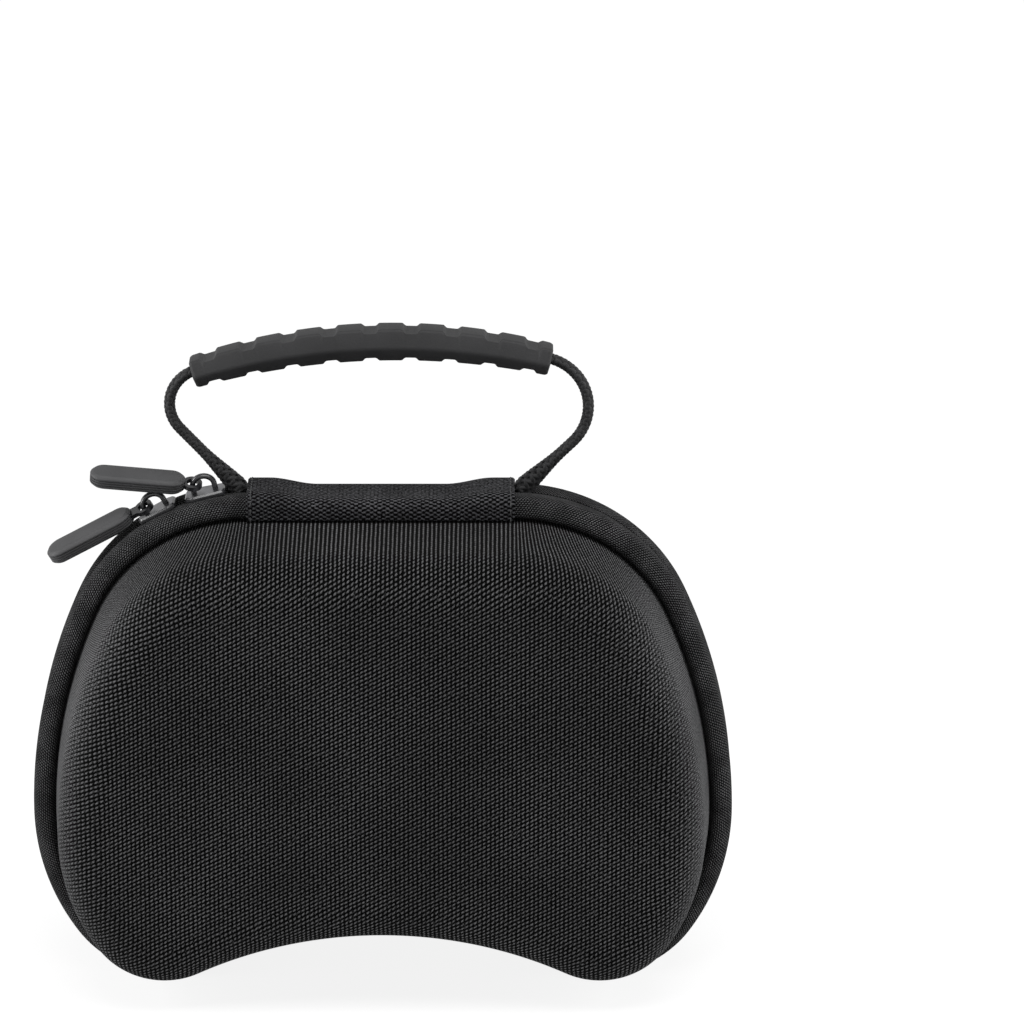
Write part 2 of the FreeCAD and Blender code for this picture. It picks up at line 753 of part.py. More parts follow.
def add_stadium(sketch, inset):
    """Outline of the tab: two straight sides and two half circles."""
    moved = worked_out(sketch, inset)
    radius = size("tab_width") / 2 - moved
    near = size("tab_start") + size("tab_width") / 2
    far = size("tab_start") + size("tab_length") - size("tab_width") / 2
    quarter = math.pi / 2
    bottom = sketch.addGeometry(Part.LineSegment(Vector(near, -radius, 0), Vector(far, -radius, 0)))
    circle = Part.Circle(Vector(far, 0, 0), Vector(0, 0, 1), radius)
    end = sketch.addGeometry(Part.ArcOfCircle(circle, -quarter, quarter))
    top = sketch.addGeometry(Part.LineSegment(Vector(far, radius, 0), Vector(near, radius, 0)))
    circle = Part.Circle(Vector(near, 0, 0), Vector(0, 0, 1), radius)
    start = sketch.addGeometry(Part.ArcOfCircle(circle, quarter, 3 * quarter))
    constrain(sketch, "Tangent", bottom, 2, end, 1)
    constrain(sketch, "Tangent", end, 2, top, 1)
    constrain(sketch, "Tangent", top, 2, start, 1)
    constrain(sketch, "Tangent", start, 2, bottom, 1)
    constrain(sketch, "PointOnObject", end, 3, -1)
    constrain(sketch, "PointOnObject", start, 3, -1)
    constrain(sketch, "Radius", end, to=f"Sizes.tab_width / 2 - ({inset})")
    constrain(
        sketch, "DistanceX", -1, 1, start, 3, to="Sizes.tab_start + Sizes.tab_width / 2"
    )
    constrain(
        sketch,
        "DistanceX",
        -1,
        1,
        end,
        3,
        to="Sizes.tab_start + Sizes.tab_length - Sizes.tab_width / 2",
    )


def shoulder_centre():
    """Centre of the left shoulder's arc."""
    return Vector(-size("shoulder_centre_x"), 0, size("case_height") - size("shoulder_radius"))


def leftwards(below_level, roll=0.0):
    """Turns local X to point left, sloping down by an angle, and local Z outwards."""
    slope = Rotation(Vector(0, 1, 0), -below_level)
    half_turn = Rotation(Vector(0, 0, 1), 180)
    return slope.multiply(half_turn).multiply(Rotation(Vector(1, 0, 0), -roll))


def on_shoulder(angle, height):
    """Point above the left shoulder, by the angle from upright and the height over the band."""
    radius = size("shoulder_radius") + height
    turn = math.radians(angle)
    return shoulder_centre() + Vector(-radius * math.sin(turn), 0, radius * math.cos(turn))


for which, mouth_ahead in (("upper", True), ("lower", False)):
    angle = size(f"{which}_slider_angle")
    seat = Placement(on_shoulder(angle, 0), leftwards(angle))
    slider = make_slider(f"slider_body_{which}", mouth_ahead)
    slider.Placement = seat
    bridge = make_bridge(f"slider_bridge_{which}")
    bridge.Placement = seat
    arch_height = size("fit_gap") + size("bridge_height")
    slope = size(f"{which}_pull_slope")
    hang = Placement(on_shoulder(angle, arch_height), leftwards(slope, size("pull_roll")))
    plate = make_pull_plate(f"pull_plate_{which}")
    plate.Placement = hang
    tab = make_pull_tab(f"pull_tab_{which}")
    tab.Placement = hang

# Handle: a braided cord in one piece, sewn flat at both ends and threaded through a grip.
# The grip bends round a centre far below it and leans a little to the left.

grip_middle = Vector(size("grip_mid_x"), 0, size("case_height") + size("grip_mid_rise"))


def from_grip_centre(radius, angle):
    """Point at a radius and an angle from the grip's own upright, positive to the left."""
    turn = math.radians(angle)
    return grip_centre + Vector(-radius * math.sin(turn), 0, radius * math.cos(turn))


lean = math.radians(size("grip_lean"))
grip_centre = grip_middle - Vector(
    -size("grip_arc_radius") * math.sin(lean), 0, size("grip_arc_radius") * math.cos(lean)
)


def add_octagon(sketch, half_width, half_height, height):
    """Eight-sided section of the cord, regular when both halves are equal."""
    corner = "(sqrt(2) - 1)"
    add_loop(
        sketch,
        [
            (f"{half_width}", f"{height} - {corner} * {half_height}"),
            (f"{half_width}", f"{height} + {corner} * {half_height}"),
            (f"{corner} * {half_width}", f"{height} + {half_height}"),
            (f"-{corner} * {half_width}", f"{height} + {half_height}"),
            (f"-{half_width}", f"{height} + {corner} * {half_height}"),
            (f"-{half_width}", f"{height} - {corner} * {half_height}"),
            (f"-{corner} * {half_width}", f"{height} - {half_height}"),
            (f"{corner} * {half_width}", f"{height} - {half_height}"),
        ],
    )


def make_grip(label):
    body = new_body(label)
    section = new_sketch(body, "section", "YZ_Plane")
    radius = "Sizes.grip_arc_radius"
    half = "Sizes.grip_height / 2"
    flat = "Sizes.grip_flat_width / 2"
    ridge = "Sizes.grip_ridge_width / 2"
    add_loop(
        section,
        [
            (flat, f"{radius} + {half}"),
            (ridge, f"{radius} - 0.2 * {half}"),
            (flat, f"{radius} - {half}"),
            (f"-{flat}", f"{radius} - {half}"),
            (f"-{ridge}", f"{radius} - 0.2 * {half}"),
            (f"-{flat}", f"{radius} + {half}"),
        ],
    )
    bend = body.newObject("PartDesign::Revolution", f"{label}_bend")
    bend.Profile = section
    bend.ReferenceAxis = (body_plane(body, "Y_Axis"), [""])
    bend.Midplane = True
    bend.setExpression("Angle", "2 * Sizes.grip_half_angle")
    section.Visibility = False
    chamfer(
        body,
        "edges",
        "Sizes.grip_edge_chamfer",
        lambda middle, edge: edge.Curve.TypeId == "Part::GeomCircle",
    )
    bore = new_sketch(body, "bore_outline", "YZ_Plane")
    room = "(Sizes.cord_diameter / 2 + Sizes.cord_gap)"
    add_octagon(bore, room, room, radius)
    groove = body.newObject("PartDesign::Groove", f"{label}_bore")
    groove.Profile = bore
    groove.ReferenceAxis = (body_plane(body, "Y_Axis"), [""])
    groove.Midplane = True
    groove.setExpression("Angle", "2 * Sizes.grip_half_angle + 2")
    bore.Visibility = False
    doc.recompute()
    notch = new_sketch(body, "notch", "XZ_Plane")
    first = (NOTCHES - 1) / 2
    out = "(Sizes.grip_arc_radius + Sizes.grip_height / 2 + Sizes.notch_radius - Sizes.notch_depth)"
    into = "(Sizes.grip_arc_radius - Sizes.grip_height / 2 - Sizes.notch_radius + Sizes.notch_depth)"
    for reach in (out, into):
        bite = notch.addGeometry(Part.Circle(Vector(-1, 1, 0), Vector(0, 0, 1), 1))
        constrain(
            notch, "DistanceX", bite, 3, -1, 1, to=f"{reach} * sin({first} * Sizes.notch_step * 1 deg)"
        )
        constrain(
            notch, "DistanceY", -1, 1, bite, 3, to=f"{reach} * cos({first} * Sizes.notch_step * 1 deg)"
        )
        constrain(notch, "Radius", bite, to="Sizes.notch_radius")
    bites = pocket(body, notch, "notch_cut", "2 * Sizes.grip_ridge_width", both_sides=True)
    pattern = body.newObject("PartDesign::PolarPattern", f"{label}_notches")
    pattern.Originals = [bites]
    pattern.Axis = (body_plane(body, "Y_Axis"), [""])
    pattern.Occurrences = NOTCHES
    pattern.setExpression("Angle", f"{NOTCHES - 1} * Sizes.notch_step")
    body.Tip = pattern
    body.Placement = Placement(grip_centre, Rotation(Vector(0, 1, 0), -size("grip_lean")))
    return body


def tangent_point(start, centre, radius, side):
    """Where a line from start touches a circle, on its left (1) or right (-1) side."""
    towards = centre - start
    reach = math.sqrt(towards.Length**2 - radius**2)
    turn = math.asin(radius / towards.Length) * side
    ahead = math.atan2(towards.z, towards.x) + turn
    return start + Vector(reach * math.cos(ahead), 0, reach * math.sin(ahead))


def cord_route():
    """Straight leg, loop, run through the grip, loop and straight leg, all tangent."""
    left_radius = size("left_loop_radius")
    right_radius = size("right_loop_radius")
    arc_radius = size("grip_arc_radius")
    left_turn = size("grip_lean") + size("loop_half_angle")
    right_turn = size("grip_lean") - size("loop_half_angle")
    left_centre = from_grip_centre(arc_radius - left_radius, left_turn)
    right_centre = from_grip_centre(arc_radius - right_radius, right_turn)
    left_end = Vector(-size("cord_end_x"), 0, size("pivot_height"))
    right_end = Vector(size("cord_end_x"), 0, size("pivot_height"))
    left_touch = tangent_point(left_end, left_centre, left_radius, 1)
    right_touch = tangent_point(right_end, right_centre, right_radius, -1)
    left_meet = from_grip_centre(arc_radius, left_turn)
    right_meet = from_grip_centre(arc_radius, right_turn)

    def middle_of(centre, radius, first, second):
        across = (first - centre) + (second - centre)
        return centre + across.normalize() * radius

    loops = [
        Part.Arc(left_touch, middle_of(left_centre, left_radius, left_touch, left_meet), left_meet),
        Part.Arc(left_meet, from_grip_centre(arc_radius, size("grip_lean")), right_meet),
        Part.Arc(
            right_meet,
            middle_of(right_centre, right_radius, right_meet, right_touch),
            right_touch,
        ),
    ]
    return left_end, left_touch, right_touch, right_end, Part.Wire([a.toShape() for a in loops])


def make_cord(label):
    """Eight-sided cord along the loops, flared into a flat end at each side of the spine."""
    left_end, left_touch, right_touch, right_end, loops = cord_route()
    spine = doc.addObject("Part::Feature", f"{label}_route")
    spine.Shape = loops
    round_half = "(Sizes.cord_diameter / 2)"
    flat_halves = ("Sizes.cord_end_half_width", "Sizes.cord_end_half_thickness")

    def section(name, halves, centre, direction):
        sketch = doc.addObject("Sketcher::SketchObject", f"{label}_{name}")
        sketch.Placement = Placement(centre, Rotation(Vector(0, 0, 1), direction))
        add_octagon(sketch, *halves, "0 * Sizes.cord_diameter")
        return sketch

    pieces = []
    touches = []
    for side, end, touch in (("left", left_end, left_touch), ("right", right_end, right_touch)):
        level = section(f"{side}_flat", flat_halves, end, Vector(0, 0, 1))
        tip_halves = [f"({half} - Sizes.cord_end_half_thickness / 2)" for half in flat_halves]
        below = end - Vector(0, 0, size("cord_end_half_thickness"))
        tip = section(f"{side}_tip", tip_halves, below, Vector(0, 0, 1))
        above = section(f"{side}_section", (round_half, round_half), touch, touch - end)
        flare = doc.addObject("Part::Loft", f"{label}_{side}_flare")
        flare.Sections = [tip, level, above]
        flare.Solid = True
        flare.Ruled = True
        pieces.append(flare)
        touches.append(above)
    sweep = doc.addObject("Part::Sweep", f"{label}_loops")
    sweep.Sections = [touches[0]]
    sweep.Spine = (spine, [f"Edge{n + 1}" for n in range(len(loops.Edges))])
    sweep.Solid = True
    sweep.Frenet = False
    pieces.append(sweep)
    cord = doc.addObject("Part::MultiFuse", label)
    cord.Shapes = pieces
    cord.Label = label
    return cord


handle_grip = make_grip("handle_grip")
handle_cord = make_cord("handle_cord")
doc.recompute()

NODES = [
    "front_shell",
    "back_shell",
    "zip_tape_front",
    "zip_tape_back",
    "zip_coil_front",
    "zip_coil_back",
    "hinge_strip",
    "slider_body_upper",
    "slider_bridge_upper",
    "pull_plate_upper",
    "pull_tab_upper",
    "slider_body_lower",
    "slider_bridge_lower",
    "pull_plate_lower",
    "pull_tab_lower",
    "handle_grip",
    "handle_cord",
]

for item in doc.Objects:
    if "Invalid" in item.State or "Error" in item.State:
        raise RuntimeError(f"{item.Name} failed: {item.State}")
os.makedirs("parts", exist_ok=True)
shapes = {}
for label in NODES:
    shape = doc.getObjectsByLabel(label)[0].Shape
    if shape.isNull() or not shape.isValid() or not shape.Solids:
        raise RuntimeError(f"{label} has no valid solid")
    shapes[label] = shape
for label, shape in shapes.items():
    shape.exportStep(f"parts/{label}.step")
    box = shape.BoundBox
    corners = (box.XMin, box.YMin, box.ZMin, box.XMax, box.YMax, box.ZMax)
    print(label, len(shape.Solids), round(shape.Volume, 1), [round(c, 2) for c in corners])
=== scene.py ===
import bmesh
import bpy
import json
import math
from mathutils import Matrix, Vector

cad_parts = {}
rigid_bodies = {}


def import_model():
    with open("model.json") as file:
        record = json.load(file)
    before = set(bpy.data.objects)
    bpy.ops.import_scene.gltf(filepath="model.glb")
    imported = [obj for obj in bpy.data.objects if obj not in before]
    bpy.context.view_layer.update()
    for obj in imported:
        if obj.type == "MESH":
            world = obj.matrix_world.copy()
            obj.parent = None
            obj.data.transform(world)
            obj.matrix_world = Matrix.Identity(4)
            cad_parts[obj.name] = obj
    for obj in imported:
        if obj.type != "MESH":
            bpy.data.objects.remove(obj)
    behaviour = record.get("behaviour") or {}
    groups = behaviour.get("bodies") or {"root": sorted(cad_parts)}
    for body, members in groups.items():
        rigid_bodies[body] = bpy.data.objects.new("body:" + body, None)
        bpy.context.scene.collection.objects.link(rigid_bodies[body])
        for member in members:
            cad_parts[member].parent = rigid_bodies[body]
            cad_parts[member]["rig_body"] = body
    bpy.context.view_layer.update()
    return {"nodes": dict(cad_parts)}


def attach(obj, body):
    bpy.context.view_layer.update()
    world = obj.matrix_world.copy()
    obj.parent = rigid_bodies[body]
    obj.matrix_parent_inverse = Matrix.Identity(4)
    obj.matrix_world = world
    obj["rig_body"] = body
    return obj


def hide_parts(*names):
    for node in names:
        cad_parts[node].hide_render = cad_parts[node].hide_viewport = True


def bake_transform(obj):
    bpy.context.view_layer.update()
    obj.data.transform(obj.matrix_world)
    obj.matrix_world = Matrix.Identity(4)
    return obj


# A moulded carrying case. X to the right, the front towards -Y, Z up, metres in the scene.

mm = 0.001
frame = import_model()
print("frame loaded")


def newObject(name, data):
    thing = bpy.data.objects.new(name, data)
    bpy.context.scene.collection.objects.link(thing)
    return thing


def eased(share):
    # from 0 to 1 with a soft start and end
    share = min(1, max(0, share))
    return share * share * (3 - 2 * share)


def runningLengths(points):
    lengths = [0.0]
    for a, b in zip(points, points[1:]):
        lengths.append(lengths[-1] + math.dist(a, b))
    return lengths


def headings(points):
    padded = [points[0], *points, points[-1]]
    return [(b - a).normalized() for a, b in zip(padded, padded[2:])]


# Outline of the case, worked out in millimetres

caseSizes = {
    "width": 180.0,
    "height": 131.0,
    "widestHeight": 46.0,
    "shoulderRadius": 48.0,
    "sideUpperRadius": 137.0,
    "sideLowerRadius": 59.0,
    "lobeRadius": 28.5,
    "waistHeight": 12.6,
    "bandThickness": 5.0,
    "partingGap": 0.35,
    "stripHalf": 33.6,
    "stripGap": 0.3,
    "topStep": 1.5,
}


def arcStations(x, z, radius, start, end, hollow=False):
    # points along an arc, each with the case's outward normal
    count = max(3, round(abs(end - start) * radius / caseSizes["topStep"]))
    stations = []
    for k in range(count):
        turn = start + (end - start) * k / count
        out = Vector((math.cos(turn), 0, math.sin(turn)))
        stations.append((Vector((x, 0, z)) + out * radius, -out if hollow else out))
    return stations


def caseOutline():
    # down the left, over the hollow base, up the right and back along the top
    s = caseSizes
    half = s["width"] / 2
    upperX = half - s["sideUpperRadius"]
    lowerX = half - s["sideLowerRadius"]
    widest = s["widestHeight"]
    shoulderZ = s["height"] - s["shoulderRadius"]
    lobe = s["lobeRadius"]
    between = s["sideUpperRadius"] - s["shoulderRadius"]
    shoulderX = upperX + math.sqrt(between**2 - (shoulderZ - widest) ** 2)
    between = s["sideLowerRadius"] - lobe
    lobeX = lowerX + math.sqrt(between**2 - (widest - lobe) ** 2)
    rise = lobe - s["waistHeight"]
    baseRadius = (lobeX**2 + rise**2 - lobe**2) / (2 * s["waistHeight"])
    baseZ = s["waistHeight"] - baseRadius
    topTurn = math.atan2(shoulderZ - widest, shoulderX - upperX)
    lobeTurn = math.atan2(widest - lobe, lobeX - lowerX)
    waistTurn = math.atan2(lobe - baseZ, lobeX)
    pi = math.pi
    # the left side's arcs from the shoulder to the lobe; the right side mirrors them
    arcs = [
        (shoulderX, shoulderZ, s["shoulderRadius"], pi / 2, pi - topTurn),
        (upperX, widest, s["sideUpperRadius"], pi - topTurn, pi),
        (lowerX, widest, s["sideLowerRadius"], pi, pi + lobeTurn),
        (lobeX, lobe, lobe, pi + lobeTurn, 2 * pi - waistTurn),
    ]
    stations = []
    for x, z, radius, start, end in arcs:
        stations += arcStations(-x, z, radius, start, end)
    stations += arcStations(0, baseZ, baseRadius, pi - waistTurn, waistTurn, hollow=True)
    for x, z, radius, start, end in arcs[::-1]:
        stations += arcStations(x, z, radius, pi - end, pi - start)
    sideCount = len(stations)
    topCount = round(2 * shoulderX / s["topStep"])
    for k in range(topCount):
        x = shoulderX * (1 - 2 * k / topCount)
        stations.append((Vector((x, 0, s["height"])), Vector((0, 0, 1))))
    return stations, sideCount


outline, sideCount = caseOutline()
endX = caseSizes["stripHalf"] + caseSizes["stripGap"]
topPoint = Vector((0, 0, caseSizes["height"]))
openOutline = [(topPoint + Vector((-endX, 0, 0)), Vector((0, 0, 1)))]
openOutline += outline[1:sideCount]
openOutline += [(topPoint + Vector((endX, 0, 0)), Vector((0, 0, 1)))]


# Materials: one helper turns a hex colour to linear, one adds a node

noiseSpan = (0.3, 0.7)  # where nearly all of a noise lies
sheenRoughness = 0.45
fibreShare = 0.6  # fibres' unevenness, as a share of the yarn's pitch
grainDetail = {"Detail": 4, "Roughness": 0.6}


def linearColour(hexCode):
    parts = [int(hexCode[k : k + 2], 16) / 255 for k in (1, 3, 5)]
    return [p / 12.92 if p <= 0.04045 else ((p + 0.055) / 1.055) ** 2.4 for p in parts] + [1]


def addNode(tree, kind, inputs=None, **settings):
    # an input takes a plain value, a socket, or a node for its first output; inputs that
    # share a name go by their number
    node = tree.nodes.new(kind)
    for key, value in settings.items():
        setattr(node, key, value)
    for key, value in (inputs or {}).items():
        if isinstance(value, bpy.types.Node):
            value = value.outputs[0]
        if isinstance(value, bpy.types.NodeSocket):
            tree.links.new(value, node.inputs[key])
        else:
            node.inputs[key].default_value = value
    return node


def newMaterial(name, colour, roughness, shader):
    material = bpy.data.materials.new(name)
    material.use_nodes = True
    tree = material.node_tree
    tree.nodes.clear()
    inputs = {"Base Color": linearColour(colour), "Roughness": roughness, **shader}
    surface = addNode(tree, "ShaderNodeBsdfPrincipled", inputs)
    addNode(tree, "ShaderNodeOutputMaterial", {"Surface": surface})
    return material, tree, surface


def finishMaterial(tree, surface, tone, colours, rough, height, depth):
    # colour between a dark and a light one, uneven gloss and a bump
    dark, light = [linearColour(colour) for colour in colours]
    mixed = addNode(tree, "ShaderNodeMix", {0: tone, 6: dark, 7: light}, data_type="RGBA")
    bump = addNode(tree, "ShaderNodeBump", {"Height": height, "Distance": depth * mm})
    tree.links.new(mixed.outputs[2], surface.inputs["Base Color"])
    tree.links.new(rough.outputs[0], surface.inputs["Roughness"])
    tree.links.new(bump.outputs[0], surface.inputs["Normal"])


def wovenMaterial(name, w):
    # yarns as a sum of waves: (share, turns across, turns along) on a chequer of crowns;
    # the pitches are the real thread spacing in millimetres
    shader = {"Specular IOR Level": w["specular"], "Sheen Weight": w["sheen"]}
    shader |= {"Sheen Roughness": sheenRoughness, "Sheen Tint": linearColour(w["crown"])}
    material, tree, surface = newMaterial(name, w["crown"], w["roughness"], shader)
    cloth = addNode(tree, "ShaderNodeUVMap", uv_map="cloth")
    noise = {"Vector": cloth, "Scale": 1 / (w["wobbleSize"] * mm)}
    drift = addNode(tree, "ShaderNodeTexNoise", noise, noise_dimensions="2D")
    sums = {0: drift.outputs["Color"], 1: [w["wobble"] * mm] * 3, 2: cloth}
    place = addNode(tree, "ShaderNodeVectorMath", sums, operation="MULTIPLY_ADD")
    flatness = 1.0
    ribsAndPaintedLight = []
    if "wallRibsAndPaintedLight" in w:
        # stretched over the mould, the cloth shows ribs across its walls; the waves with no turns
        # add painted light to the side walls and painted shade to the top and base; the last
        # number picks them: 0 for the top and base, 1 for the sides
        lay = addNode(tree, "ShaderNodeUVMap", uv_map="wall")
        shares = addNode(tree, "ShaderNodeSeparateXYZ", {0: lay})
        sums = {0: shares.outputs[0], 1: shares.outputs[1]}
        both = addNode(tree, "ShaderNodeMath", sums, operation="ADD")
        span = {"Value": both, "To Min": 1.0, "To Max": w["wallKeep"]}
        flatness = addNode(tree, "ShaderNodeMapRange", span)
        for share, across, along, k in w["wallRibsAndPaintedLight"]:
            ribsAndPaintedLight.append((share, across, along, shares.outputs[k]))
    height = 0.5
    for share, across, along, weight in [(*wave, flatness) for wave in w["waves"]] + ribsAndPaintedLight:
        turns = (across * math.pi / (w["pitchU"] * mm), along * math.pi / (w["pitchV"] * mm), 0)
        inputs = {0: place, 1: turns}
        phase = addNode(tree, "ShaderNodeVectorMath", inputs, operation="DOT_PRODUCT")
        wave = addNode(tree, "ShaderNodeMath", {0: phase.outputs["Value"]}, operation="COSINE")
        part = addNode(tree, "ShaderNodeMath", {0: wave, 1: weight}, operation="MULTIPLY")
        sums = {0: part, 1: share / 2, 2: height}
        height = addNode(tree, "ShaderNodeMath", sums, operation="MULTIPLY_ADD")
    noise = {"Vector": cloth, "Scale": 1 / (w["pitchU"] * fibreShare * mm), "Detail": 1}
    fibres = addNode(tree, "ShaderNodeTexNoise", noise, noise_dimensions="2D")
    span = {"Value": fibres, "To Min": -w["uneven"] / 2, "To Max": w["uneven"] / 2}
    uneven = addNode(tree, "ShaderNodeMapRange", span)
    height = addNode(tree, "ShaderNodeMath", {0: height, 1: uneven}, operation="ADD")
    # colour by the yarn's height: the gaps get painted shade, the crowns a grey that is partly
    # painted highlight
    span = {"Value": height, "From Min": w["gapEdge"], "From Max": w["crownEdge"]}
    yarn = addNode(tree, "ShaderNodeMapRange", span)
    noise = {"Vector": cloth, "Scale": 1 / (w["patchSize"] * mm), "Detail": 3}
    patches = addNode(tree, "ShaderNodeTexNoise", noise, noise_dimensions="2D")
    low, high = noiseSpan
    span = {"Value": patches, "From Min": low, "From Max": high, "To Min": w["patchLow"]}
    tone = addNode(tree, "ShaderNodeMapRange", span)
    lit = addNode(tree, "ShaderNodeMath", {0: yarn, 1: tone}, operation="MULTIPLY")
    span = {"Value": yarn, "To Min": 1.0, "To Max": w["roughness"]}
    rough = addNode(tree, "ShaderNodeMapRange", span)
    finishMaterial(tree, surface, lit, (w["gap"], w["crown"]), rough, height, w["depth"])
    return material


# Ballistic nylon: plain weave of thick yarn; its black gaps are painted shade and the soft grey on
# each float is partly painted highlight
ballisticNylon = wovenMaterial(
    "woven ballistic nylon",
    {
        "pitchU": 1.1,
        "pitchV": 0.55,
        "waves": ((0.44, 1, -1), (0.24, 3, -1), (0.14, 1, 1), (0.18, 2, 0)),
        # waves with no turns: painted light on the side walls, painted shade on the top and base
        "wallRibsAndPaintedLight": ((0.8, 2, 0, 0), (-0.24, 0, 0, 0), (0.35, 0, 2, 1), (0.45, 0, 0, 1)),
        "wallKeep": 0.25,
        "uneven": 0.5,
        "wobble": 0.12,
        "wobbleSize": 6.0,
        "patchSize": 30.0,
        "patchLow": 0.75,
        "gap": "#010101",
        "crown": "#525253",
        "gapEdge": 0.43,
        "crownEdge": 0.95,
        "roughness": 0.6,
        "specular": 0.03,
        "sheen": 0.1,
        "depth": 0.22,
    },
)

# Zip tape: fine woven polyester, rows of short floats along its length, duller than the cover
ribbedTape = wovenMaterial(
    "ribbed polyester zip tape",
    {
        "pitchU": 0.4,
        "pitchV": 0.55,
        "waves": ((0.42, 1, -1), (0.16, 1, 1), (0.42, 0, 2)),
        "uneven": 0.9,
        "wobble": 0.3,
        "wobbleSize": 3.0,
        "patchSize": 6.0,
        "patchLow": 0.55,
        "gap": "#010101",
        "crown": "#505051",
        "gapEdge": 0.4,
        "crownEdge": 0.95,
        "roughness": 0.7,
        "specular": 0.03,
        "sheen": 0.08,
        "depth": 0.16,
    },
)

# Spine cloth: the cover's yarn in a looser weave, wavy rows with open gaps
spineWebbing = wovenMaterial(
    "woven polyester spine cloth",
    {
        "pitchU": 1.0,
        "pitchV": 0.56,
        "waves": ((0.42, 1, -1), (0.42, 1, 1)),
        "uneven": 0.8,
        "wobble": 0.4,
        "wobbleSize": 3.0,
        "patchSize": 12.0,
        "patchLow": 0.6,
        "gap": "#010101",
        "crown": "#464648",
        "gapEdge": 0.38,
        "crownEdge": 0.88,
        "roughness": 0.65,
        "specular": 0.03,
        "sheen": 0.1,
        "depth": 0.22,
    },
)

# Lining: fine brushed jersey, dull
jerseyLining = wovenMaterial(
    "brushed jersey lining",
    {
        "pitchU": 0.5,
        "pitchV": 0.45,
        "waves": ((0.4, 1, -1), (0.4, 1, 1), (0.2, 2, 0)),
        "uneven": 0.8,
        "wobble": 0.25,
        "wobbleSize": 3.0,
        "patchSize": 12.0,
        "patchLow": 0.8,
        "gap": "#141415",
        "crown": "#39393b",
        "gapEdge": 0.2,
        "crownEdge": 0.9,
        "roughness": 0.9,
        "specular": 0.05,
        "sheen": 0.25,
        "depth": 0.1,
    },
)


def grainedMaterial(name, g):
    # smooth or grained surface whose tone drifts a little
    shader = {"Metallic": g.get("metallic", 0.0), "Specular IOR Level": g.get("specular", 0.5)}
    material, tree, surface = newMaterial(name, g["colour"], g["roughness"], shader)
    place = addNode(tree, "ShaderNodeTexCoord").outputs["Object"]
    noise = {"Vector": place, "Scale": 1 / (g["grain"] * mm), **grainDetail}
    grain = addNode(tree, "ShaderNodeTexNoise", noise)
    noise = {"Vector": place, "Scale": 1 / (g["drift"] * mm), "Detail": 2}
    drift = addNode(tree, "ShaderNodeTexNoise", noise)
    low, high = noiseSpan
    span = {"Value": drift, "From Min": low, "From Max": high}
    share = addNode(tree, "ShaderNodeMapRange", span)
    least = g["roughness"] - g["roughSpan"]
    most = g["roughness"] + g["roughSpan"]
    span = {"Value": grain, "To Min": least, "To Max": most}
    rough = addNode(tree, "ShaderNodeMapRange", span)
    finishMaterial(tree, surface, share, (g["dark"], g["colour"]), rough, grain, g["depth"])
    return material


# Silicone rubber of the pull tabs: matt mid-grey, very fine spark-eroded grain
tabRubber = grainedMaterial(
    "spark-grained silicone rubber",
    {
        "colour": "#303031",
        "dark": "#2a2a2b",
        "roughness": 0.6,
        "roughSpan": 0.06,
        "grain": 0.25,
        "drift": 9.0,
        "depth": 0.03,
        "specular": 0.25,
    },
)

# Rubber of the grip: darker, slightly porous skin
gripRubber = grainedMaterial(
    "moulded grip rubber",
    {
        "colour": "#19191a",
        "dark": "#121213",
        "roughness": 0.62,
        "roughSpan": 0.08,
        "grain": 0.5,
        "drift": 12.0,
        "depth": 0.07,
        "specular": 0.22,
    },
)

# Gunmetal plating of the sliders' bodies, bright where it catches the light
gunmetalPlate = grainedMaterial(
    "gunmetal plated zinc",
    {
        "colour": "#626265",
        "dark": "#464649",
        "roughness": 0.38,
        "roughSpan": 0.08,
        "grain": 0.4,
        "drift": 4.0,
        "depth": 0.008,
        "metallic": 1.0,
    },
)

# Black enamel of the bridges and pull plates, thick and glossy over cast zinc
blackEnamel = grainedMaterial(
    "black enamelled zinc",
    {
        "colour": "#1a1a1c",
        "dark": "#111113",
        "roughness": 0.28,
        "roughSpan": 0.06,
        "grain": 0.6,
        "drift": 5.0,
        "depth": 0.01,
        "specular": 0.4,
    },
)

# Nylon monofilament of the zip coil, drawn and a little glossy
nylonCoil = grainedMaterial(
    "drawn nylon monofilament",
    {
        "colour": "#1b1b1d",
        "dark": "#131314",
        "roughness": 0.35,
        "roughSpan": 0.05,
        "grain": 0.5,
        "drift": 6.0,
        "depth": 0.01,
        "specular": 0.35,
    },
)

# Braided polyester yarn of the handle's cord, dull black with lighter fibres
braidYarn = grainedMaterial(
    "braided polyester yarn",
    {
        "colour": "#1c1c1d",
        "dark": "#0b0b0c",
        "roughness": 0.65,
        "roughSpan": 0.1,
        "grain": 0.18,
        "drift": 2.5,
        "depth": 0.05,
        "specular": 0.2,
    },
)

# Sewing thread of the spine's end seams, twisted polyester
sewingThread = grainedMaterial(
    "twisted polyester sewing thread",
    {
        "colour": "#2a2a2b",
        "dark": "#141415",
        "roughness": 0.6,
        "roughSpan": 0.1,
        "grain": 0.12,
        "drift": 1.5,
        "depth": 0.03,
        "specular": 0.25,
    },
)
print("materials made")


# Mesh helpers

weldReach = {"made": 0.001, "solid": 0.002}
solidSharp = 32


def closeMesh(built, mesh, weld=0):
    # every face turned outwards, near points first made one
    if weld:
        bmesh.ops.remove_doubles(built, verts=built.verts, dist=weld * mm)
    bmesh.ops.recalc_face_normals(built, faces=built.faces)
    built.to_mesh(mesh)
    built.free()


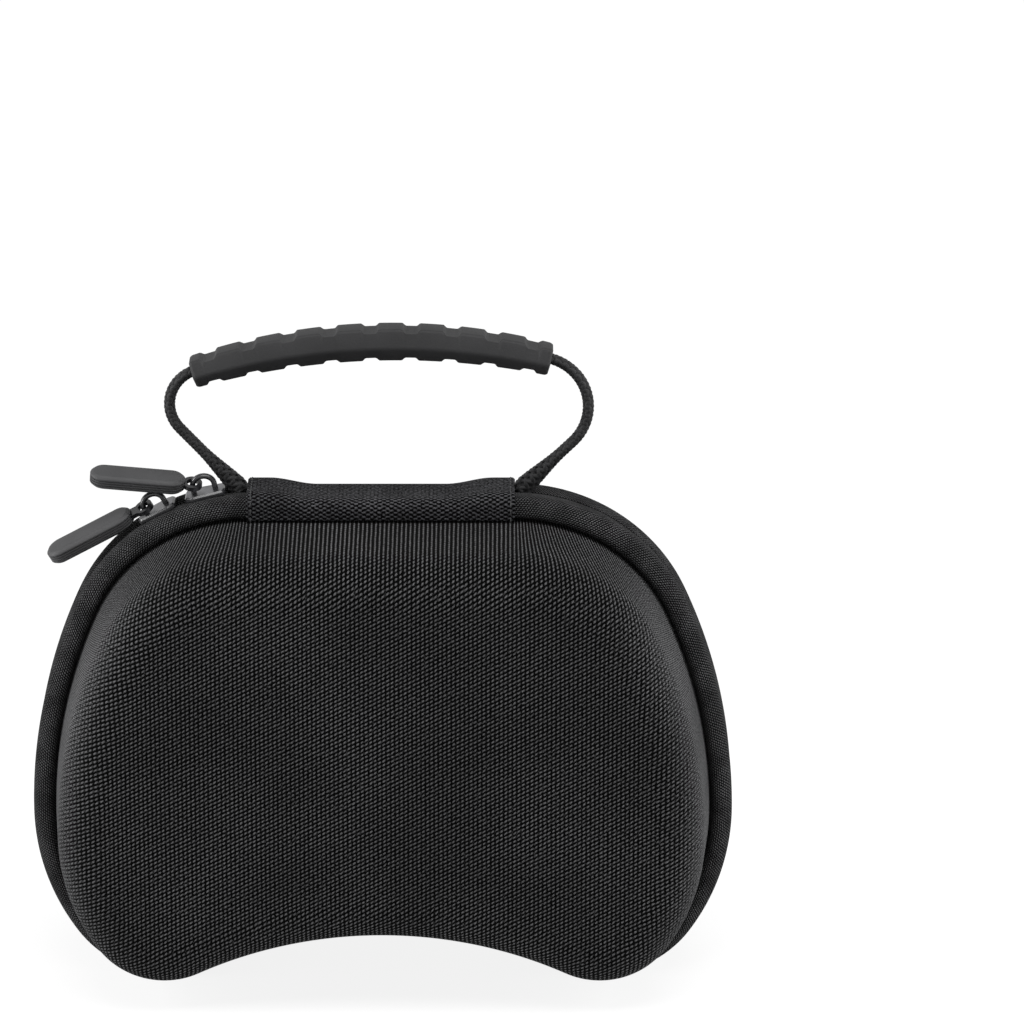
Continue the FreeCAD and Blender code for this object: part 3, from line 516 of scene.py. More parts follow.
def gridPiece(name, rows, cloth, closed, materials, rowMaterials=None, caps=False, wall=None):
    # rows of points in millimetres, with cloth coordinates in millimetres for each
    columns = len(rows[0])
    mesh = bpy.data.meshes.new(name)
    points = [p * mm for row in rows for p in row]
    quads = []
    slots = []
    corners = []
    last = columns if closed else columns - 1
    for r in range(len(rows) - 1):
        for c in range(last):
            d = (c + 1) % columns
            quad = [(r, c), (r, d), (r + 1, d), (r + 1, c)]
            quads.append([row * columns + column for row, column in quad])
            slots.append(rowMaterials[r] if rowMaterials else 0)
            corners += quad
    mesh.from_pydata(points, [], quads)
    layer = mesh.uv_layers.new(name="cloth")
    for loop, (r, c) in zip(layer.data, corners):
        loop.uv = (cloth[r][c][0] * mm, cloth[r][c][1] * mm)
    if wall:
        layer = mesh.uv_layers.new(name="wall")
        for loop, (r, c) in zip(layer.data, corners):
            loop.uv = wall[r][c]
    for material in materials:
        mesh.materials.append(material)
    for face, slot in zip(mesh.polygons, slots):
        face.material_index = slot
    built = bmesh.new()
    built.from_mesh(mesh)
    if caps:
        rim = [e for e in built.edges if e.is_boundary]
        bmesh.ops.holes_fill(built, edges=rim, sides=0)
    closeMesh(built, mesh, weldReach["made"])
    return newObject(name, mesh)


def smoothPiece(piece, angle):
    for face in piece.data.polygons:
        face.use_smooth = True
    piece.data.set_sharp_from_angle(angle=math.radians(angle))


def refinedCopy(node, material):
    # the solid's own facets, welded and smoothed, with the finish of the real piece
    mesh = frame["nodes"][node].data.copy()
    built = bmesh.new()
    built.from_mesh(mesh)
    closeMesh(built, mesh, weldReach["solid"])
    mesh.materials.clear()
    mesh.materials.append(material)
    piece = newObject(f"{node}_finish", mesh)
    if mesh.has_custom_normals:
        bpy.context.view_layer.objects.active = piece
        with bpy.context.temp_override(object=piece, active_object=piece):
            bpy.ops.mesh.customdata_custom_splitnormals_clear()
    smoothPiece(piece, solidSharp)
    body = frame["nodes"][node]["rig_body"]
    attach(piece, body)
    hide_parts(node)
    return piece


# Moulded shells: woven cover outside, lining inside, one skin over the foam

shellShape = {
    "depth": 36.6,
    "wall": 3.4,
    "draft": 5.0,
    "faceRadius": 12.0,
    "crown": 1.2,
    "centreHeight": 62.0,
    "clothPull": 0.85,
    "roundSteps": 10,
    "wallSteps": 8,
    "ribsEnd": 0.7,
    "sharp": 45,
    "faceShares": (0.02, 0.05, 0.1, 0.18, 0.3, 0.45, 0.62, 0.8, 1.0),
}


def mouldProfile(inset, depth, radius):
    # straight drafted wall, then the round edge, as (inset, depth) pairs
    s = shellShape
    draft = math.radians(s["draft"])
    corner = inset + depth * math.tan(draft)
    reach = radius * math.tan((math.pi / 2 - draft) / 2)
    wallEnd = depth - reach * math.cos(draft)
    profile = []
    for k in range(s["wallSteps"]):
        d = wallEnd * k / s["wallSteps"]
        profile.append((inset + d * math.tan(draft), d))
    for k in range(s["roundSteps"] + 1):
        turn = draft + (math.pi / 2 - draft) * k / s["roundSteps"]
        profile.append(
            (corner + reach - radius * math.cos(turn), depth - radius + radius * math.sin(turn))
        )
    return profile


def mouldRows(profile, side, depth, crown):
    # the wall's rows follow the outline; the face's rows close in on its middle
    s = shellShape
    gap = caseSizes["partingGap"]
    edgeInset = profile[-1][0]
    lengths = runningLengths(profile)
    rows = []
    cloth = []
    wall = []
    wallEnd = lengths[s["wallSteps"]]
    ribsLength = (lengths[-1] - wallEnd) * s["ribsEnd"]
    for (inset, d), length in zip(profile, lengths):
        pull = (lengths[-1] - length) * s["clothPull"]
        # ribs, with the walls' painted light and painted shade, fade out round the edge
        ribsAndPaintedLight = 1 - min(1, max(0, (length - wallEnd) / ribsLength))
        wall.append([(ribsAndPaintedLight * out.z**2, ribsAndPaintedLight * out.x**2) for point, out in outline])
        row = []
        spots = []
        for point, out in outline:
            place = point - out * inset
            place.y = side * (gap + d)
            row.append(place)
            flat = point - out * (edgeInset - pull)
            spots.append((flat.x, flat.z))
        rows.append(row)
        cloth.append(spots)
    middle = Vector((0, side * (gap + depth), s["centreHeight"]))
    edge = rows[-1]
    for share in s["faceShares"]:
        row = []
        for place in edge:
            spot = place.lerp(middle, share)
            spot.y = side * (gap + depth + crown * (1 - (1 - share) ** 2))
            row.append(spot)
        rows.append(row)
        cloth.append([(p.x, p.z) for p in row])
        wall.append([(0, 0)] * len(row))
    return rows, cloth, wall


def makeShell(name, side, body, node):
    s = shellShape
    rim = caseSizes["bandThickness"]
    outer = mouldProfile(rim, s["depth"], s["faceRadius"])
    inner = mouldProfile(rim + s["wall"], s["depth"] - s["wall"], s["faceRadius"] - s["wall"])
    outerRows, outerCloth, outerWall = mouldRows(outer, side, s["depth"], s["crown"])
    innerRows, innerCloth, innerWall = mouldRows(inner, side, s["depth"] - s["wall"], 0)
    rows = outerRows[::-1] + innerRows
    cloth = outerCloth[::-1] + innerCloth
    wall = outerWall[::-1] + innerWall
    slots = [0] * (len(outerRows) - 1) + [1] * len(innerRows)
    piece = gridPiece(name, rows, cloth, True, [ballisticNylon, jerseyLining], slots, wall=wall)
    smoothPiece(piece, s["sharp"])
    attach(piece, body)
    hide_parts(node)


makeShell("front_shell_cover", -1, "lid", "front_shell")
makeShell("back_shell_cover", 1, "base", "back_shell")
print("shells made")


# Zip tapes: a flat wing beside the coil, then the roll sewn round the rim

tapeShape = {
    "width": 8.2,
    "radius": 3.6,
    "channel": 3.8,
    "wing": 1.0,
    "wingFold": 0.4,
    "lip": ((0.1, 0.15), (0.0, 0.6)),
    "sewnIn": 0.95,
    "turnDown": ((-1.0, 0.15), (-0.5, 0.55), (-0.2, 1.2), (0.0, 2.2), (0.3, 3.2)),
    "puff": 0.35,
    "sideSteps": 6,
    "roundSteps": 8,
    "sharp": 50,
}


def tapeProfile():
    # (inset, distance from the parting plane) pairs, once round the section
    t = tapeShape
    gap = caseSizes["partingGap"]
    far = gap + t["width"]
    flat = far - t["radius"]
    inner = caseSizes["bandThickness"]
    profile = [(t["wing"], gap), (t["wing"] * t["wingFold"], gap)]
    profile += [(inset, gap + rise) for inset, rise in t["lip"]]
    start = profile[-1][1]
    for k in range(1, t["sideSteps"] + 1):
        share = k / t["sideSteps"]
        bulge = t["puff"] * math.sin(share * math.pi / 2)
        profile.append((-bulge, start + (flat - start) * share))
    across = t["radius"] + t["puff"]
    for k in range(1, t["roundSteps"] + 1):
        turn = math.pi / 2 * k / t["roundSteps"]
        inset = across * (1 - math.cos(turn)) - t["puff"]
        profile.append((inset, flat + t["radius"] * math.sin(turn)))
    # the roll turns down towards its seam on the wall
    profile += [(inner + inset, far - down) for inset, down in t["turnDown"]]
    profile += [(inner + t["sewnIn"], gap + t["channel"])]
    profile += [((inner + t["wing"]) / 2, gap + t["channel"])]
    profile += [(t["wing"], gap + t["channel"]), (t["wing"], gap + t["channel"] / 2)]
    return profile


def makeTape(name, side, body, node):
    profile = tapeProfile()
    profile.append(profile[0])
    run = runningLengths([point for point, out in openOutline])
    rows = []
    cloth = []
    for (inset, y), girth in zip(profile, runningLengths(profile)):
        row = []
        for point, out in openOutline:
            place = point - out * inset
            place.y = side * y
            place.z = max(place.z, 0)  # flattened where the case stands on it
            row.append(place)
        rows.append(row)
        cloth.append([(length, girth) for length in run])
    piece = gridPiece(name, rows, cloth, False, [ribbedTape], caps=True)
    smoothPiece(piece, tapeShape["sharp"])
    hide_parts(node)
    return piece


def bendAtHinge(piece):
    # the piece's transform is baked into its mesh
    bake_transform(piece)


frontTape = makeTape("zip_tape_front_weave", -1, "lid", "zip_tape_front")
bendAtHinge(frontTape)
backTape = makeTape("zip_tape_back_weave", 1, "base", "zip_tape_back")
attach(backTape, "base")
print("tapes made")


# Zip coil: turns of monofilament along both tapes, made by Geometry Nodes

coilShape = {
    "pitch": 1.25,
    "inset": 1.85,
    "halfHeight": 0.65,
    "reach": 1.9,
    "past": 0.25,
    "wire": 0.27,
    "turnSides": 10,
    "wireSides": 5,
}


def newPathTree(name, sizes, material):
    # a tree that dresses a path, its named inputs and a rotation along the path
    tree = bpy.data.node_groups.new(name, "GeometryNodeTree")
    face = tree.interface
    face.new_socket("Geometry", in_out="INPUT", socket_type="NodeSocketGeometry")
    for label in sizes:
        face.new_socket(label, in_out="INPUT", socket_type="NodeSocketFloat")
    face.new_socket(material, in_out="INPUT", socket_type="NodeSocketMaterial")
    face.new_socket("Geometry", in_out="OUTPUT", socket_type="NodeSocketGeometry")
    tangent = addNode(tree, "GeometryNodeInputTangent")
    lengthways = addNode(tree, "FunctionNodeAlignRotationToVector", {"Vector": tangent}, axis="Z")
    return tree, addNode(tree, "NodeGroupInput").outputs, lengthways


def layAlongPath(tree, path, step, shape, turned, material):
    # one copy of the shape at each step of the path, made real and given its material
    inputs = {"Curve": path, "Length": step}
    spread = addNode(tree, "GeometryNodeResampleCurve", inputs, mode="LENGTH")
    inputs = {"Points": spread, "Instance": shape, "Rotation": turned}
    copies = addNode(tree, "GeometryNodeInstanceOnPoints", inputs)
    real = addNode(tree, "GeometryNodeRealizeInstances", {0: copies})
    smooth = addNode(tree, "GeometryNodeSetShadeSmooth", {0: real})
    inputs = {"Geometry": smooth, "Material": material}
    finish = addNode(tree, "GeometryNodeSetMaterial", inputs)
    addNode(tree, "NodeGroupOutput", {0: finish})


def coilTree():
    sizes = ("Pitch", "Wire", "Half Height", "Half Width")
    tree, start, lengthways = newPathTree("zip coil", sizes, "Filament")
    inputs = {"Resolution": coilShape["turnSides"], "Radius": 1.0}
    circle = addNode(tree, "GeometryNodeCurvePrimitiveCircle", inputs)
    halves = {0: start["Half Height"], 1: start["Half Width"], 2: 1.0}
    size = addNode(tree, "ShaderNodeCombineXYZ", halves)
    oval = addNode(tree, "GeometryNodeTransform", {"Geometry": circle, "Scale": size})
    inputs = {"Resolution": coilShape["wireSides"], "Radius": start["Wire"]}
    section = addNode(tree, "GeometryNodeCurvePrimitiveCircle", inputs)
    turn = addNode(tree, "GeometryNodeCurveToMesh", {"Curve": oval, "Profile Curve": section})
    inputs = {"Vector": (0, 1, 0), "Rotation": lengthways}
    align = "FunctionNodeAlignRotationToVector"
    upright = addNode(tree, align, inputs, axis="Y", pivot_axis="Z")
    layAlongPath(tree, start[0], start["Pitch"], turn, upright, start["Filament"])
    return tree


def dressedPath(name, points, tree, settings):
    # a poly curve run through a node tree and kept as a plain mesh
    path = bpy.data.curves.new(name, "CURVE")
    path.dimensions = "3D"
    line = path.splines.new("POLY")
    line.points.add(len(points) - 1)
    for spot, point in zip(line.points, points):
        spot.co = (point.x * mm, point.y * mm, point.z * mm, 1)
    guide = newObject(name, path)
    modifier = guide.modifiers.new("dressing", "NODES")
    modifier.node_group = tree
    inputs = {i.name: i.identifier for i in tree.interface.items_tree if i.in_out == "INPUT"}
    for label, value in settings.items():
        modifier[inputs[label]] = value
    ready = guide.evaluated_get(bpy.context.evaluated_depsgraph_get())
    mesh = bpy.data.meshes.new_from_object(ready)
    bpy.data.objects.remove(guide)
    return newObject(name, mesh)


def makeCoil(name, side, node, shift):
    c = coilShape
    halfWidth = (c["reach"] + c["past"]) / 2
    middle = Vector((0, side * (c["reach"] - c["past"]) / 2, 0))
    points = [point - out * c["inset"] + middle for point, out in openOutline]
    points[0].x -= shift
    settings = {
        "Pitch": c["pitch"] * mm,
        "Wire": c["wire"] * mm,
        "Half Height": c["halfHeight"] * mm,
        "Half Width": (halfWidth - c["wire"]) * mm,
        "Filament": nylonCoil,
    }
    piece = dressedPath(name, points, zipCoil, settings)
    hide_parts(node)
    return piece


zipCoil = coilTree()
frontCoil = makeCoil("zip_coil_front_turns", -1, "zip_coil_front", 0.0)
bendAtHinge(frontCoil)
backCoil = makeCoil("zip_coil_back_turns", 1, "zip_coil_back", coilShape["pitch"] / 2)
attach(backCoil, "base")
print("coil made", len(frontCoil.data.polygons))


# Fabric spine, raised at both ends where it is sewn over the handle's cord

spineShape = {
    "halfLength": 34.15,
    "halfWidth": 8.75,
    "rise": 1.7,
    "ramp": 12.0,
    "endFlat": 5.6,
    "radius": 3.2,
    "thickness": 4.85,
    "columns": 64,
    "topSteps": 8,
    "roundSteps": 7,
    "sharp": 50,
    "seamColumn": 2,
    "endSoft": 0.5,
    "endDrop": 0.45,
    "seam": {
        "Spacing": 1.9 * mm,
        "Stitch Length": 1.6 * mm,
        "Thread Radius": 0.17 * mm,
        "Thread": sewingThread,
    },
}


def spineTop(x):
    s = spineShape
    flat = s["halfLength"] - s["endFlat"]
    lift = eased((abs(x) - (flat - s["ramp"])) / s["ramp"])
    tuck = max(0, 1 - (s["halfLength"] - abs(x)) / s["endSoft"])
    return s["rise"] * lift - s["endDrop"] * tuck * tuck


def makeSpine():
    s = spineShape
    section = []
    bottom = caseSizes["height"] - s["thickness"]
    flat = s["halfWidth"] - s["radius"]
    for k in range(s["roundSteps"] + 1):
        turn = math.pi / 2 * k / s["roundSteps"]
        section.append((flat + s["radius"] * math.cos(turn), s["radius"] * (math.sin(turn) - 1)))
    crown = [(flat * (2 * k / s["topSteps"] - 1), 0) for k in range(1, s["topSteps"])]
    across = [(-y, z) for y, z in section] + crown + section[::-1]
    rows = []
    cloth = []
    xs = [s["halfLength"] * (2 * k / s["columns"] - 1) for k in range(s["columns"] + 1)]
    xs[1:1] = [xs[0] + s["endSoft"]]
    xs[-1:-1] = [xs[-1] - s["endSoft"]]
    profile = [(-s["halfWidth"], None)] + across + [(s["halfWidth"], None)]
    for y, drop in profile:
        row = []
        for x in xs:
            z = bottom if drop is None else caseSizes["height"] + spineTop(x) + drop
            row.append(Vector((x, y, z)))
        if rows:
            girths = [g + (p - q).length for g, p, q in zip(girths, row, rows[-1])]
        else:
            girths = [0.0] * len(xs)
        rows.append(row)
        cloth.append(list(zip(xs, girths)))
    seams = [[row[c] for row in rows[:-1]] for c in (s["seamColumn"], -1 - s["seamColumn"])]
    rows.append(rows[0])
    cloth.append([(x, g + 2 * s["halfWidth"]) for x, g in zip(xs, girths)])
    piece = gridPiece("hinge_strip_weave", rows, cloth, False, [spineWebbing], caps=True)
    smoothPiece(piece, s["sharp"])
    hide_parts("hinge_strip")
    bendOverSpine(piece)
    for name, seam in zip(("left", "right"), seams):
        bendOverSpine(dressedPath(f"spine_seam_{name}", seam, stitchRow, s["seam"]))


def bendOverSpine(piece):
    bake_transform(piece)


def stitchTree():
    # thread lying in short stitches along a seam, half sunk in the cloth
    sizes = ("Spacing", "Stitch Length", "Thread Radius")
    tree, start, lengthways = newPathTree("stitch row", sizes, "Thread")
    ball = addNode(tree, "GeometryNodeMeshUVSphere", {"Segments": 8, "Rings": 6, "Radius": 0.5})
    double = {0: start["Thread Radius"], 1: 2.0}
    thick = addNode(tree, "ShaderNodeMath", double, operation="MULTIPLY")
    size = addNode(tree, "ShaderNodeCombineXYZ", {0: thick, 1: thick, 2: start["Stitch Length"]})
    stitch = addNode(tree, "GeometryNodeTransform", {"Geometry": ball, "Scale": size})
    layAlongPath(tree, start[0], start["Spacing"], stitch, lengthways, start["Thread"])
    return tree


stitchRow = stitchTree()
makeSpine()
print("spine made")


# Handle: rubber grip over a braided cord

handleShape = {
    "gripRadius": 166.0,
    "gripMiddleX": -2.4,
    "gripMiddleRise": 40.2,
    "lean": 2.1,
    "gripHalfAngle": 15.85,
    "gripHeight": 8.3,
    "gripTaper": 1.3,
    "gripDrop": 0.25,
    "flatHalf": 3.3,
    "ridgeHalf": 5.2,
    "ridgeLevel": -0.1,
    "cornerRound": 0.7,
    "cornerSteps": 4,
    "notches": 9,
    "notchStep": 3.53,
    "notchHalf": 1.85,
    "notchDepth": 1.0,
    "notchSoft": 1.2,
    "gripStep": 0.3,
    "gripEnd": 0.9,
    "gripEndSqueeze": 0.09,
    "gripSharp": 38,
    "loopHalfAngle": 15.7,
    "leftLoop": 9.4,
    "rightLoop": 13.2,
    "pivotRise": 1.4,
    "endX": 36.5,
    "cordRadius": 1.5,
    "endHalfWidth": 2.7,
    "endHalfThickness": 1.15,
    "endShift": (0.6, -1.3),
    "endShares": (1, 0.66, 0.33),
    "flare": 15.0,
    "insideGrip": 4.0,
    "strands": 8,
    "lay": 9.0,
    "strandWidth": 0.62,
    "strandThickness": 0.36,
    "strandSides": 8,
    "weaveDepth": 0.2,
    "coreWidth": 0.45,
    "coreThickness": 0.9,
    "coreSides": 10,
    "cordSharp": 60,
    "step": 0.35,
}


def gripPoint(radius, angle):
    h = handleShape
    lean = math.radians(h["lean"])
    middle = Vector((h["gripMiddleX"], 0, caseSizes["height"] + h["gripMiddleRise"]))
    centre = middle - Vector((-math.sin(lean), 0, math.cos(lean))) * h["gripRadius"]
    turn = math.radians(angle)
    return centre + Vector((-math.sin(turn), 0, math.cos(turn))) * radius


def cordRoute(side):
    # from the sewn end up the leg, round the loop and a little way into the grip
    h = handleShape
    radius = h["leftLoop"] if side < 0 else h["rightLoop"]
    angle = h["lean"] - side * h["loopHalfAngle"]
    centre = gripPoint(h["gripRadius"] - radius, angle)
    meet = gripPoint(h["gripRadius"], angle)
    end = Vector((side * h["endX"], 0, caseSizes["height"] + h["pivotRise"]))
    towards = centre - end
    reach = math.sqrt(towards.length**2 - radius**2)
    ahead = math.atan2(towards.z, towards.x) - side * math.asin(radius / towards.length)
    touch = end + Vector((math.cos(ahead), 0, math.sin(ahead))) * reach
    inwards, down = h["endShift"]
    points = [end + Vector((-side * inwards, 0, down)) * share for share in h["endShares"]]
    count = round(reach / h["step"])
    points += [end.lerp(touch, k / count) for k in range(count)]
    first = math.atan2(touch.z - centre.z, touch.x - centre.x)
    last = math.atan2(meet.z - centre.z, meet.x - centre.x)
    sweep = (first - last) % (2 * math.pi) if side < 0 else -((last - first) % (2 * math.pi))
    count = round(abs(sweep) * radius / h["step"])
    for k in range(count):
        turn = first - sweep * k / count
        points.append(centre + Vector((math.cos(turn), 0, math.sin(turn))) * radius)
    count = round(h["insideGrip"] / h["step"])
    for k in range(count + 1):
        further = math.degrees(h["insideGrip"] / h["gripRadius"]) * k / count
        points.append(gripPoint(h["gripRadius"], angle + side * further))
    return points


def cordSection(distance):
    # half width in the plane of the handle and half thickness across it
    h = handleShape
    share = eased(distance / h["flare"])
    wide = h["endHalfWidth"] + (h["cordRadius"] - h["endHalfWidth"]) * share
    thick = h["endHalfThickness"] + (h["cordRadius"] - h["endHalfThickness"]) * share
    return wide, thick


def tubeAlong(built, centres, normals, sides, width, thickness):
    # closed tube with an oval section, its thickness along the normals
    rings = []
    for centre, normal, along in zip(centres, normals, headings(centres)):
        out = (normal - along * normal.dot(along)).normalized()
        beside = along.cross(out)
        ring = []
        for n in range(sides):
            turn = 2 * math.pi * n / sides
            spot = centre + out * math.cos(turn) * thickness + beside * math.sin(turn) * width
            ring.append(built.verts.new(spot * mm))
        rings.append(ring)
    for a, b in zip(rings, rings[1:]):
        for n in range(sides):
            m = (n + 1) % sides
            built.faces.new((a[n], a[m], b[m], b[n]))
    built.faces.new(rings[0][::-1])
    built.faces.new(rings[-1])


def tubePiece(name, built, material, sharp):
    mesh = bpy.data.meshes.new(name)
    closeMesh(built, mesh)
    mesh.materials.append(material)
    piece = newObject(name, mesh)
    smoothPiece(piece, sharp)
    return piece


def makeCord():
    # half of the strands wind each way round a core, over and under those of the other half
    h = handleShape
    built = bmesh.new()
    sideways = Vector((0, 1, 0))
    each = h["strands"] // 2
    inset = h["strandThickness"] + h["weaveDepth"]
    strandSize = (h["strandSides"], h["strandWidth"], h["strandThickness"])
    for side in (-1, 1):
        route = cordRoute(side)
        distances = runningLengths(route)
        inPlane = [along.cross(sideways) for along in headings(route)]
        for way, offset in ((1, 0), (-1, 0.5)):
            for strand in range(each):
                centres = []
                normals = []
                for spot, distance, flat in zip(route, distances, inPlane):
                    twist = 2 * math.pi * distance / h["lay"]
                    turn = way * twist + 2 * math.pi * (strand + offset) / each
                    lift = way * h["weaveDepth"] * math.cos(twist * each)
                    wide, thick = cordSection(distance)
                    x = flat * math.cos(turn)
                    y = sideways * math.sin(turn)
                    away = (x / wide + y / thick).normalized()
                    place = spot + x * (wide - inset) + y * (thick - inset)
                    centres.append(place + away * lift)
                    normals.append(away)
                tubeAlong(built, centres, normals, *strandSize)
        width = h["coreWidth"] * h["cordRadius"]
        thickness = h["coreThickness"] * h["cordRadius"]
        tubeAlong(built, route, inPlane, h["coreSides"], width, thickness)
    piece = tubePiece("handle_cord_braid", built, braidYarn, h["cordSharp"])
    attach(piece, "handle")
    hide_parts("handle_cord")


def roundedSection(height):
    # one half of the grip's section from the bottom to the top, corners rounded; (y, z) pairs
    h = handleShape
    half = height / 2
    corners = [
        (0.0, -half),
        (h["flatHalf"], -half),
        (h["ridgeHalf"], h["ridgeLevel"] * half),
        (h["flatHalf"], half),
        (0.0, half),
    ]
    points = [corners[0]]
    for before, corner, after in zip(corners, corners[1:], corners[2:]):
        back = (Vector(before) - Vector(corner)).normalized()
        ahead = (Vector(after) - Vector(corner)).normalized()
        for k in range(h["cornerSteps"] + 1):
            share = k / h["cornerSteps"]
            first = Vector(corner) + back * h["cornerRound"] * (1 - share)
            second = Vector(corner) + ahead * h["cornerRound"] * share
            points.append(tuple(first.lerp(second, share)))
    points.append(corners[-1])
    return points


def notchShare(along):
    # 0 between notches, 1 in one, with round lips
    h = handleShape
    spacing = math.radians(h["notchStep"]) * h["gripRadius"]
    first = (h["notches"] - 1) / 2
    nearest = max(-first, min(first, round(along / spacing)))
    off = abs(along - nearest * spacing)
    return eased((h["notchHalf"] - off) / h["notchSoft"] + 0.5)


def makeGrip():
    h = handleShape
    reach = math.radians(h["gripHalfAngle"]) * h["gripRadius"]
    count = round(2 * reach / h["gripStep"])
    rows = []
    cloth = []
    for k in range(count + 1):
        along = reach * (1 - 2 * k / count)
        share = abs(along) / reach
        endRound = max(0.0, 1 - (reach - abs(along)) / h["gripEnd"])
        height = h["gripHeight"] - h["gripTaper"] * share * share
        cut = height / 2 - h["notchDepth"] * notchShare(along)
        squeeze = 1 - h["gripEndSqueeze"] * endRound * endRound
        half = [(y, max(-cut, min(cut, z))) for y, z in roundedSection(height)]
        ring = half + [(-y, z) for y, z in half[-2:0:-1]]
        row = []
        for y, z in ring:
            turn = h["lean"] + math.degrees(along / h["gripRadius"])
            spot = gripPoint(h["gripRadius"] + z * squeeze - h["gripDrop"], turn)
            spot.y = y * squeeze
            row.append(spot)
        rows.append(row)
        cloth.append([(along, z) for y, z in ring])
    piece = gridPiece("handle_grip_rubber", rows, cloth, True, [gripRubber], caps=True)
    smoothPiece(piece, h["gripSharp"])
    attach(piece, "handle")
    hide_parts("handle_grip")


makeCord()
makeGrip()
print("handle made")


# Sliders: plated body, enamelled arch of oval wire and eye plate, rubber pull tab

pullShape = {
    "shoulderX": -33.94,
    "sliderTurn": {"upper": 12.95, "lower": 28.4},
    "pullSlope": {"upper": -5.0, "lower": 28.4},
    "pullRoll": 11.0,
    "archLevel": 3.0,
    "plateTop": 1.5,
    "archRadius": 2.8,
    "archRise": 2.4,
    "archFoot": 0.1,
    "archLeg": 0.7,
    "archWire": 0.72,
    "archOval": 1.25,
    "archSteps": 24,
    "archSides": 14,
    "archSharp": 50,
    "topFacing": 0.95,
    "tabStart": {"upper": 4.6, "lower": 6.2},
    "tabLength": 24.4,
    "tabWidth": 7.5,
    "tabHalf": 1.9,
    "tabBevel": 0.75,
    "bevelRun": 0.25,
    "bevelDrop": 0.05,
    "bevelLip": 0.06,
    "lines": (0.66, 0.0, -0.66),
    "lineHalf": 0.16,
    "lineDepth": 0.24,
    "lineSection": ((1.3, 0.0), (0.7, 1.0), (-0.7, 1.0), (-1.3, 0.0)),
    "endSteps": 16,
    "tabSharp": 33,
}


def onShoulder(turn, height):
    radius = caseSizes["shoulderRadius"] + height
    angle = math.radians(turn)
    centre = Vector((pullShape["shoulderX"], 0, caseSizes["height"] - caseSizes["shoulderRadius"]))
    return centre + Vector((-math.sin(angle), 0, math.cos(angle))) * radius


def leftwards(slope, roll=0.0):
    # local X points left and down by the slope, local Z outwards
    turn = Matrix.Rotation(math.radians(-slope), 3, "Y") @ Matrix.Rotation(math.pi, 3, "Z")
    return turn @ Matrix.Rotation(math.radians(-roll), 3, "X")


def makeTab(which):
    s = pullShape
    seat = onShoulder(s["sliderTurn"][which], s["archLevel"])
    turn = leftwards(s["pullSlope"][which], s["pullRoll"])
    radius = s["tabWidth"] / 2
    half = s["tabHalf"]
    bevel = s["tabBevel"]
    lip = s["bevelLip"]
    drop = s["bevelDrop"]
    edge = [(radius, half), (radius / 2, half), (bevel + s["bevelRun"], half)]
    edge += [(bevel, half - drop), (lip, half - bevel + drop), (0.0, half - bevel - lip)]
    profile = list(edge)
    for level in s["lines"]:
        for off, depth in s["lineSection"]:
            profile.append((depth * s["lineDepth"], level + off * s["lineHalf"]))
    profile += [(inset, -z) for inset, z in edge[::-1]]
    near = s["tabStart"][which] + radius
    far = s["tabStart"][which] + s["tabLength"] - radius
    rows = []
    cloth = []
    for inset, z in profile:
        reach = radius - inset
        row = []
        for centre, start in ((far, -math.pi / 2), (near, math.pi / 2)):
            for k in range(s["endSteps"] + 1):
                angle = start + math.pi * k / s["endSteps"]
                spot = Vector((centre + reach * math.cos(angle), reach * math.sin(angle), z))
                row.append(seat + turn @ spot)
        rows.append(row)
        cloth.append([(p.x, p.z) for p in row])
    piece = gridPiece(f"pull_tab_{which}_rubber", rows, cloth, True, [tabRubber], caps=True)
    smoothPiece(piece, s["tabSharp"])
    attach(piece, f"pull_{which}")
    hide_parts(f"pull_tab_{which}")


def makeArch(which, body):
    s = pullShape
    seat = onShoulder(s["sliderTurn"][which], 0)
    turn = leftwards(s["sliderTurn"][which])
    legs = (s["plateTop"] - s["archFoot"], s["archLevel"] * s["archLeg"])
    path = [Vector((s["archRadius"], 0, z)) for z in legs]
    for k in range(s["archSteps"] + 1):
        angle = math.pi * k / s["archSteps"]
        rise = s["archLevel"] + math.sin(angle) * s["archRise"]
        path.append(Vector((math.cos(angle) * s["archRadius"], 0, rise)))
    path += [Vector((-p.x, 0, p.z)) for p in path[1::-1]]
    centres = [seat + turn @ p for p in path]
    normals = [Vector((0, 1, 0))] * len(centres)
    wire = s["archWire"]
    built = bmesh.new()
    tubeAlong(built, centres, normals, s["archSides"], wire, wire * s["archOval"])
    piece = tubePiece(f"slider_bridge_{which}_wire", built, blackEnamel, s["archSharp"])
    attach(piece, body)
    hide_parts(f"slider_bridge_{which}")


def plateTopPaintedShadeRim(piece, which):
    # the plating shows on the flat of the plate; its rim and neck get the black enamel as painted
    # shade
    outwards = leftwards(pullShape["sliderTurn"][which]) @ Vector((0, 0, 1))
    piece.data.materials.append(blackEnamel)
    for face in piece.data.polygons:
        flat = face.normal.dot(outwards) > pullShape["topFacing"]
        face.material_index = 0 if flat else 1


for which, body in (("upper", "base"), ("lower", "slider_lower")):
    plateTopPaintedShadeRim(refinedCopy(f"slider_body_{which}", gunmetalPlate), which)
    makeArch(which, body)
    refinedCopy(f"pull_plate_{which}", blackEnamel)
    makeTab(which)
print("sliders and pulls made")


# Floor, lights and camera

studio = {
    "floorSize": 6.0,
    "paper": (0.85, 0.85, 0.85, 1),
    "white": (1, 1, 1, 1),
    "floorWhite": 0.85,
    "whiteFrom": 0.12,
    "whiteFull": 0.5,
    "glow": 1.02,
    "ambient": 0.14,
    "elevation": 19.0,
    "distance": 1.6,
    "frameWidth": 0.2617,
    "target": (0.0334, 0.0, 0.1254),
    "filmWidth": 36,
    "lampTarget": (0, 0, 0.07),
}

